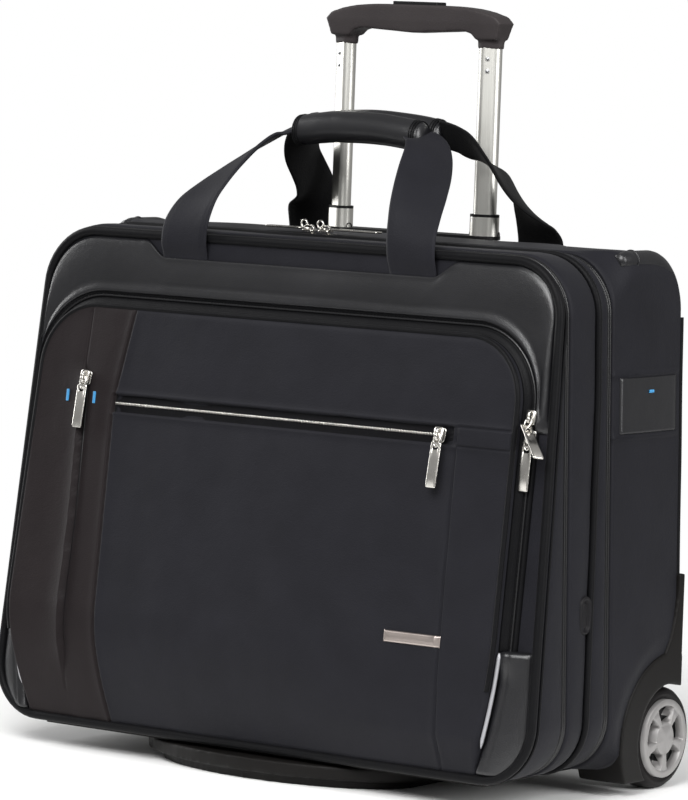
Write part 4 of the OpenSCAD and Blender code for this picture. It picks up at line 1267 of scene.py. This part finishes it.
# Moulded nylon: black and half matt. Zinc-plated steel: grey, plain and slightly cloudy.
# Pressed fibre board: dark brown and dull.
black_nylon = moulded("black moulded nylon", ("#131314", "#1b1b1c"), 0.45, 0.7, 0.3, IOR=1.53)
paint_nodes(black_nylon, "lock_feet", "middle_collars", "tube_base", "trolley_bezel")
zinc_steel = metal_finish("zinc-plated steel", ("#9c9da0", "#b4b5b7"), 0.3, (60, 60, 60), 0.15)
paint_nodes(zinc_steel, "push_rods", "axles", "base_screws")
board_card = moulded("pressed fibre board", ("#141210", "#211d19"), 0.85, 1.6, 0.5, IOR=1.45)
paint_nodes(board_card, "back_board")

tube_x, tube_y = 62.0, 169.0
tube_turn = math.radians(20)


def tube_side(x_sign, z, reach, across=0.0):
    """A place on a tube's surface: reach along the oval, across it, at height z."""
    x = tube_x + reach * math.cos(tube_turn) - across * math.sin(tube_turn)
    y = tube_y + reach * math.sin(tube_turn) + across * math.cos(tube_turn)
    return np.array([x_sign * x, y, z])


def dished_disc(centre, out, r, depth, rim):
    """Points and faces of a small disc with a rim and a dished middle."""
    out = np.asarray(out, float) / np.linalg.norm(out)
    a = np.cross(out, (0, 0, 1.0))
    a /= np.linalg.norm(a)
    b = np.cross(out, a)
    turn = np.linspace(0, 2 * math.pi, 24, endpoint=False)
    points = []
    for share, lift in ((1.0, -1.2), (1.0, rim * 0.5), (0.86, rim), (0.7, rim * 0.4),
                        (0.5, -depth)):
        points += [centre + out * lift + r * share * (a * math.cos(t) + b * math.sin(t))
                   for t in turn]
    faces = [[i * 24 + j, i * 24 + (j + 1) % 24, (i + 1) * 24 + (j + 1) % 24, (i + 1) * 24 + j]
             for i in range(4) for j in range(24)]
    faces += [list(range(96, 120)), list(range(24))[::-1]]
    return points, faces


for side, word in ((1, "right"), (-1, "left")):
    middle_face = tube_side(side, 371, 10.4)
    out = (side * math.cos(tube_turn), math.sin(tube_turn), 0)
    front_face = tube_side(side, 371, -10.4)
    discs = [dished_disc(middle_face, out, 2.6, 0.5, 0.25),
             dished_disc(front_face, [-v for v in out], 2.6, 0.5, 0.25)]
    hole = joined(f"lock_hole_{word}", discs, black_nylon, "middle_stage")
    face_out = (side * math.sin(tube_turn), -math.cos(tube_turn), 0)
    rivets = [dished_disc(tube_side(side, z, side * -1.0, -5.2), face_out, 1.9, -1.0, 0.6)
              for z in (493.5, 485.0)]
    joined(f"grip_rivets_{word}", rivets, zinc_steel, "inner_stage")


def softened(name, node, voxel, passes, material, body, shape=None):
    """A copy of a CAD node's mesh with its edges rounded off, as a moulding has."""
    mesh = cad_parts[node].data.copy()
    made = bpy.data.objects.new(name, mesh)
    bpy.context.scene.collection.objects.link(made)
    weld = made.modifiers.new("weld", "WELD")
    weld.merge_threshold = 0.00005
    remesh = made.modifiers.new("remesh", "REMESH")
    remesh.mode = "VOXEL"
    remesh.voxel_size = voxel / 1000
    relax = made.modifiers.new("relax", "SMOOTH")
    relax.factor, relax.iterations = 0.5, passes
    depsgraph = bpy.context.evaluated_depsgraph_get()
    final = bpy.data.meshes.new_from_object(made.evaluated_get(depsgraph))
    bpy.data.objects.remove(made)
    final.materials.clear()
    if shape:
        points = np.empty(len(final.vertices) * 3)
        final.vertices.foreach_get("co", points)
        points = points.reshape(-1, 3) * 1000 - (0, front_y, 0)
        final.vertices.foreach_set("co", to_frame(shape(points)).ravel())
        final.update()
    final.name = name
    made = piece(name, final, material, body)
    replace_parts(made, node)
    return made


def grip_sculpt(p):
    """Fuller on top, slimmer below and at the shoulders, as a hand grip is."""
    crown = 1 - 0.1 * np.clip((np.abs(p[:, 0]) - 50) / 25, 0, 1)
    belly_in = 1 - 0.12 * np.clip((518 - p[:, 2]) / 12, 0, 1)
    p[:, 1] = tube_y + (p[:, 1] - tube_y) * crown * belly_in
    return p


# A soft-touch coat on moulded nylon: warm charcoal, and no sharp highlight.
grip_nylon = moulded("soft-touch grip nylon", ("#2f2b2c", "#393535"), 0.5, 0.9, 0.35, IOR=1.5)
handle = softened("trolley_grip_moulding", "trolley_grip", 1.1, 9, grip_nylon, "inner_stage",
                  grip_sculpt)
button = softened("release_button_moulding", "release_button", 0.6, 3, black_nylon, "button")

# ---- Base, skid and wheel housings --------------------------------------------------------
# Injection-moulded polypropylene: a tray under the case, a bowed skid at the front
# that it stands on, and the housings that carry the wheels.
# Spark-grained polypropylene: brown-black, with an even sparkle from its texture.
polypropylene = moulded("spark-grained polypropylene", ("#0d0c0b", "#131110"), 0.5, 0.9, 0.3,
                        IOR=1.49)
skid = softened("skid_foot_moulding", "skid_foot", 1.5, 6, polypropylene, "case")
paint_nodes(polypropylene, "base_tray")
for word in ("left", "right"):
    housing = softened(f"wheel_housing_{word}_moulding", f"wheel_housing_{word}", 1.2, 5,
                       polypropylene, "case")

# ---- Wheels ----------------------------------------------------------------------------
# A polyurethane tyre on a moulded rim; the hub cap is ABS painted silver, with five
# windows between bevelled spokes and a raised, blank five-sided boss.
wheel_y, tyre_r = 174.0, 35.0
# Polyurethane: near black and smooth, duller than the housing. Silver paint on ABS:
# light grey with a fine flake, and only half as metallic as plate.
tyre_pu = moulded("polyurethane tyre", ("#100e0f", "#161414"), 0.48, 1.2, 0.3, IOR=1.5)
silver_paint, silver_output = new_material("silver-painted ABS")
silver_place = add(silver_paint, "ShaderNodeTexCoord")
silver_flake = add(silver_paint, "ShaderNodeTexVoronoi",
                   {"Vector": silver_place.outputs["Object"], "Scale": 2200.0})
silver_shift = add(silver_paint, "ShaderNodeMapRange",
                   {"Value": silver_flake.outputs["Distance"], "To Min": 0.34, "To Max": 0.48})
silver_shader = add(silver_paint, "ShaderNodeBsdfPrincipled",
                    {"Base Color": linear("#979594"), "Metallic": 0.55,
                     "Roughness": silver_shift.outputs["Result"],
                     "Coat Weight": 0.15, "Coat Roughness": 0.2})
finish_material(silver_paint, silver_output, silver_shader)


def turned(name, profile, side, material, body):
    """A closed ring turned about the wheel's axle from a loop of x and radius."""
    turn = np.linspace(0, 2 * math.pi, 120, endpoint=False)
    rows = np.array([np.stack([np.full(len(turn), side * x), wheel_y + r * np.cos(turn),
                               tyre_r + r * np.sin(turn)], 1) for x, r in profile])
    return skin(name, rows if side > 0 else rows[:, ::-1], material, body, across=True)


cap_turn = np.linspace(0, 2 * math.pi, 240, endpoint=False)
cap_radii = np.concatenate([[0.8, 4, 8, 9.2, 9.8, 10.4, 11.0], np.arange(11.6, 22.6, 0.45),
                            [23.0, 23.6, 24.4, 25.2, 26.0, 26.6, 26.95]])


def cap_height(r, a):
    """Height of the cap over its deepest face, and whether a point lies in a window."""
    fifth = np.mod(a - math.pi / 2 + math.pi / 5, 2 * math.pi / 5) - math.pi / 5
    side_gap = (0.40 * r + 0.9) - np.abs(fifth) * r * 1.04
    window = np.minimum(np.minimum(side_gap, r - 11.4), 22.0 - r)
    hole = smooth(window, -0.45, 0.35)
    in_side = np.mod(a + math.pi / 2, 2 * math.pi / 5) - math.pi / 5
    pentagon = 9.6 / np.cos(in_side) * math.cos(math.pi / 5)
    boss = 0.8 * smooth(r, pentagon + 0.7, pentagon - 0.7)
    spoke = 0.5 * smooth(np.abs(np.abs(fifth) - math.pi / 5) * r, 3.4, 1.4) * smooth(r, 22, 19)
    rim_lip = 0.5 * smooth(r, 22.0, 23.2) * smooth(r, 27.2, 25.4)
    return (3.4 + boss + spoke * smooth(r, 9, 12) + rim_lip) * (1 - hole) - 4.6 * hole, window


for side, word in ((1, "right"), (-1, "left")):
    body = f"wheel_{word}"
    profile = [(200, 24.6), (200, 30), (200.8, 33), (202.6, 34.4), (205.5, 35), (216.5, 35),
               (218.6, 34.5), (220.6, 33), (221.6, 31), (221.7, 29.4), (221.1, 28.9),
               (221.3, 28.2), (220.9, 27.3), (219.5, 27.1), (219.5, 24.6)]
    tyre = turned(f"tyre_{word}_tread", profile, side, tyre_pu, body)
    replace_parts(tyre, f"tyre_{word}")
    gr, ga = np.meshgrid(cap_radii, cap_turn, indexing="ij")
    high, window = cap_height(gr, ga)
    cap = np.stack([side * (220.4 + high), wheel_y + gr * np.cos(ga), tyre_r + gr * np.sin(ga)], -1)
    back_rows = np.stack([np.full(gr.shape, side * 203.0), wheel_y + gr * np.cos(ga),
                          tyre_r + gr * np.sin(ga)], -1)[[-1, 0]]
    rows = np.concatenate([cap, back_rows])
    hub = skin(f"hub_cap_{word}", rows[:, ::-1] if side > 0 else rows, silver_paint, body,
               poles=(0, -1))
    # The window floors take black nylon as painted shade: it stands in for the dark inside seen through
    # the open windows.
    hub.data.materials.append(black_nylon)
    inside = (window[:-1] + window[1:]) / 2 > -0.1
    inside = inside & np.roll(inside, -1, 1)
    if side > 0:
        inside = np.roll(inside[:, ::-1], -1, 1)
    window_shade_faces = np.zeros(len(hub.data.polygons), np.int32)
    window_shade_faces[:inside.size] = inside.ravel()
    hub.data.polygons.foreach_set("material_index", window_shade_faces)
    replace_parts(hub, f"rim_{word}")

# ---- Zip sliders and pulls ------------------------------------------------------------------
# Die-cast zinc, nickel plated: a shield-shaped slider with a bridge, a wire loop and
# a bevelled tab. The two main sliders also have an upright eye for a padlock.
def placed(parts, origin, turn):
    """Moves parts from a slider's own axes (x across, -y outward, z along) to the case."""
    return [(np.asarray(points, float) @ np.asarray(turn, float).T + origin, faces)
            for points, faces in parts]


def ring_part(path, r):
    """Points and faces of a closed wire."""
    sides = 8
    path = np.asarray(path, float)
    ahead = np.roll(path, -1, 0) - np.roll(path, 1, 0)
    ahead /= np.linalg.norm(ahead, axis=1)[:, None]
    middle = path - path.mean(0)
    up = np.cross(ahead, middle)
    up /= np.linalg.norm(up, axis=1)[:, None]
    a = np.cross(up, ahead)
    turn = np.linspace(0, 2 * math.pi, sides, endpoint=False)
    points = (path[:, None] + r * (a[:, None] * np.cos(turn)[None, :, None]
                                   + up[:, None] * np.sin(turn)[None, :, None])).reshape(-1, 3)
    n = len(path)
    faces = [[i * sides + j, i * sides + (j + 1) % sides, (i + 1) % n * sides + (j + 1) % sides,
              (i + 1) % n * sides + j] for i in range(n) for j in range(sides)]
    return points, faces


def rounded_loop(x0, x1, z0, z1, r):
    """A rounded rectangle's points, from the top middle and round."""
    corners = ((x1 - r, z1 - r, 90), (x1 - r, z0 + r, 0), (x0 + r, z0 + r, -90),
               (x0 + r, z1 - r, 180))
    points = []
    for cx, cz, start in corners:
        for t in np.radians(np.linspace(start, start - 90, 8)):
            points.append((cx + r * math.cos(t), cz + r * math.sin(t)))
    return np.array(points)


def plate_part(outer, y_top, y_low, bevel, hole=None):
    """A bevelled plate in x and z between two heights, with a hole if one is given."""
    def inset(loop, by):
        centre = (loop.max(0) + loop.min(0)) / 2
        half = (loop.max(0) - loop.min(0)) / 2
        return centre + (loop - centre) * (1 - by / half)

    n = len(outer)
    layers = [(inset(outer, bevel), y_top), (outer, y_top + bevel), (outer, y_low - bevel),
              (inset(outer, bevel), y_low)]
    if hole is not None:
        layers += [(inset(hole, -bevel), y_low), (hole, y_low - bevel), (hole, y_top + bevel),
                   (inset(hole, -bevel), y_top)]
    points = [(x, y, z) for loop, y in layers for x, z in loop]
    faces = []
    rings = len(layers)
    for i in range(rings if hole is not None else rings - 1):
        for j in range(n):
            k = (j + 1) % n
            m = (i + 1) % rings
            faces.append([i * n + j, m * n + j, m * n + k, i * n + k])
    if hole is None:
        faces.append(list(range(n)))
        faces.append([(rings - 1) * n + j for j in range(n)][::-1])
    return points, faces


def slider_parts(lock_eye):
    """Two shields on a neck, the bridge over them, and an eye for a padlock if asked."""
    shield = rounded_loop(-4.1, 4.1, -5.2, 5.0, 2.2)
    shield[:, 0] *= np.interp(shield[:, 1], (-5.2, 5.0), (0.82, 1.0))
    parts = [plate_part(shield, -2.9, -1.5, 0.35), plate_part(shield * 0.96, 0.1, 1.2, 0.3),
             bead((0, -0.8, 2.6), (0, 1, 0), (1, 0, 0), 2.6, 2.4, 2.4, 5, 10)]
    bridge = [(0, y, z) for y, z in ((-2.4, -4.2), (-4.6, -4.0), (-5.7, -2.6), (-5.9, 0),
                                     (-5.7, 2.4), (-4.6, 3.8), (-2.4, 4.2))]
    for a, b in zip(bridge, bridge[1:]):
        centre = (np.array(a) + b) / 2
        parts.append(bead(centre, np.array(b) - a, (1, 0, 0), np.linalg.norm(np.array(b) - a) * 1.25,
                          1.1, 2.8, 5, 10))
    if lock_eye:
        eye = [(0, -6.6 + 2.6 * math.cos(t), -4.6 + 2.4 * math.sin(t))
               for t in np.linspace(0, 2 * math.pi, 28, endpoint=False)]
        parts.append(ring_part(eye, 0.75))
        parts.append(bead((0, -3.2, -4.6), (0, 1, 0), (1, 0, 0), 3.4, 1.8, 2.0, 5, 10))
    return parts


def pull_parts(long, tab_turn):
    """A wire loop and its tab, which can hang askew; tab_turn is a rotation matrix."""
    loop = [(2.3 * math.sin(t), -3.6, -3.9 + 4.6 * math.cos(t)) for t in
            np.linspace(0, 2 * math.pi, 36, endpoint=False)]
    tab = rounded_loop(-4, 4, -long, -5.4, 1.1)
    points, faces = plate_part(tab, -4.3, -2.9, 0.4, rounded_loop(-2.0, 2.0, -10.4, -7.2, 0.8))
    joint = np.array([0, -3.6, -7.2])
    return [ring_part(loop, 0.75), ((np.array(points) - joint) @ tab_turn.T + joint, faces)]


def turn_x(angle):
    """A rotation about x."""
    cosine, sine = math.cos(angle), math.sin(angle)
    return np.array([[1, 0, 0], [0, cosine, -sine], [0, sine, cosine]])


def turn_y(angle):
    """A rotation about y."""
    cosine, sine = math.cos(angle), math.sin(angle)
    return np.array([[cosine, 0, sine], [0, 1, 0], [-sine, 0, cosine]])


def turn_z(angle):
    """A rotation about z."""
    cosine, sine = math.cos(angle), math.sin(angle)
    return np.array([[cosine, -sine, 0], [sine, cosine, 0], [0, 0, 1]])


half_turn = math.pi / 2
face_slope = math.atan((belly - belly_top) / ((1 - belly_at) * pocket_h))
flat_panel = turn_x(-lean)
flat_pocket = turn_x(-lean - face_slope)
top_flat = turn_x(-half_turn)
pin = np.array([0, -3.6, -0.6])
swung = turn_x(math.radians(-26))
askew = turn_y(math.radians(-40)) @ turn_z(math.radians(55))
hardware = (
    ("main", "left", (-34, main_zip_y + 1.5, case_top + 0.2), top_flat @ turn_y(half_turn),
     top_flat @ turn_y(half_turn)),
    ("main", "right", (-20, main_zip_y + 1.5, case_top + 0.2), top_flat @ turn_y(half_turn),
     top_flat @ turn_y(-half_turn)),
    ("pocket", "upper", on_panel(pocket_right + 6, 242, 3.0), flat_panel, flat_panel),
    ("pocket", "lower", on_panel(pocket_right + 6, 229, 3.0), flat_panel, flat_panel),
    ("cross", "", on_panel(142, zip_s, float(bulge(zip_s)) + 0.9), flat_pocket, flat_pocket),
    ("vertical", "", on_panel(-163, 241, float(bulge(241)) + 0.9), flat_pocket, flat_pocket))
for group, end, origin, slider_turn, pull_turn in hardware:
    tail = f"_{end}" if end else ""
    slider_name, pull_name = f"{group}_slider{tail}", f"{group}_pull{tail}"
    parts = slider_parts(group == "main")
    made = joined(slider_name + "_casting", placed(parts, origin, slider_turn), bright_metal,
                  slider_name)
    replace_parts(made, slider_name)
    parts = pull_parts(46 if group == "main" and end == "right" else 36,
                       askew if end == "upper" else np.eye(3))
    if end == "upper":
        parts = [((np.asarray(points) - pin) @ swung.T + pin, faces) for points, faces in parts]
    made = joined(pull_name + "_casting", placed(parts, origin, pull_turn), bright_metal, pull_name)
    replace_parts(made, pull_name)
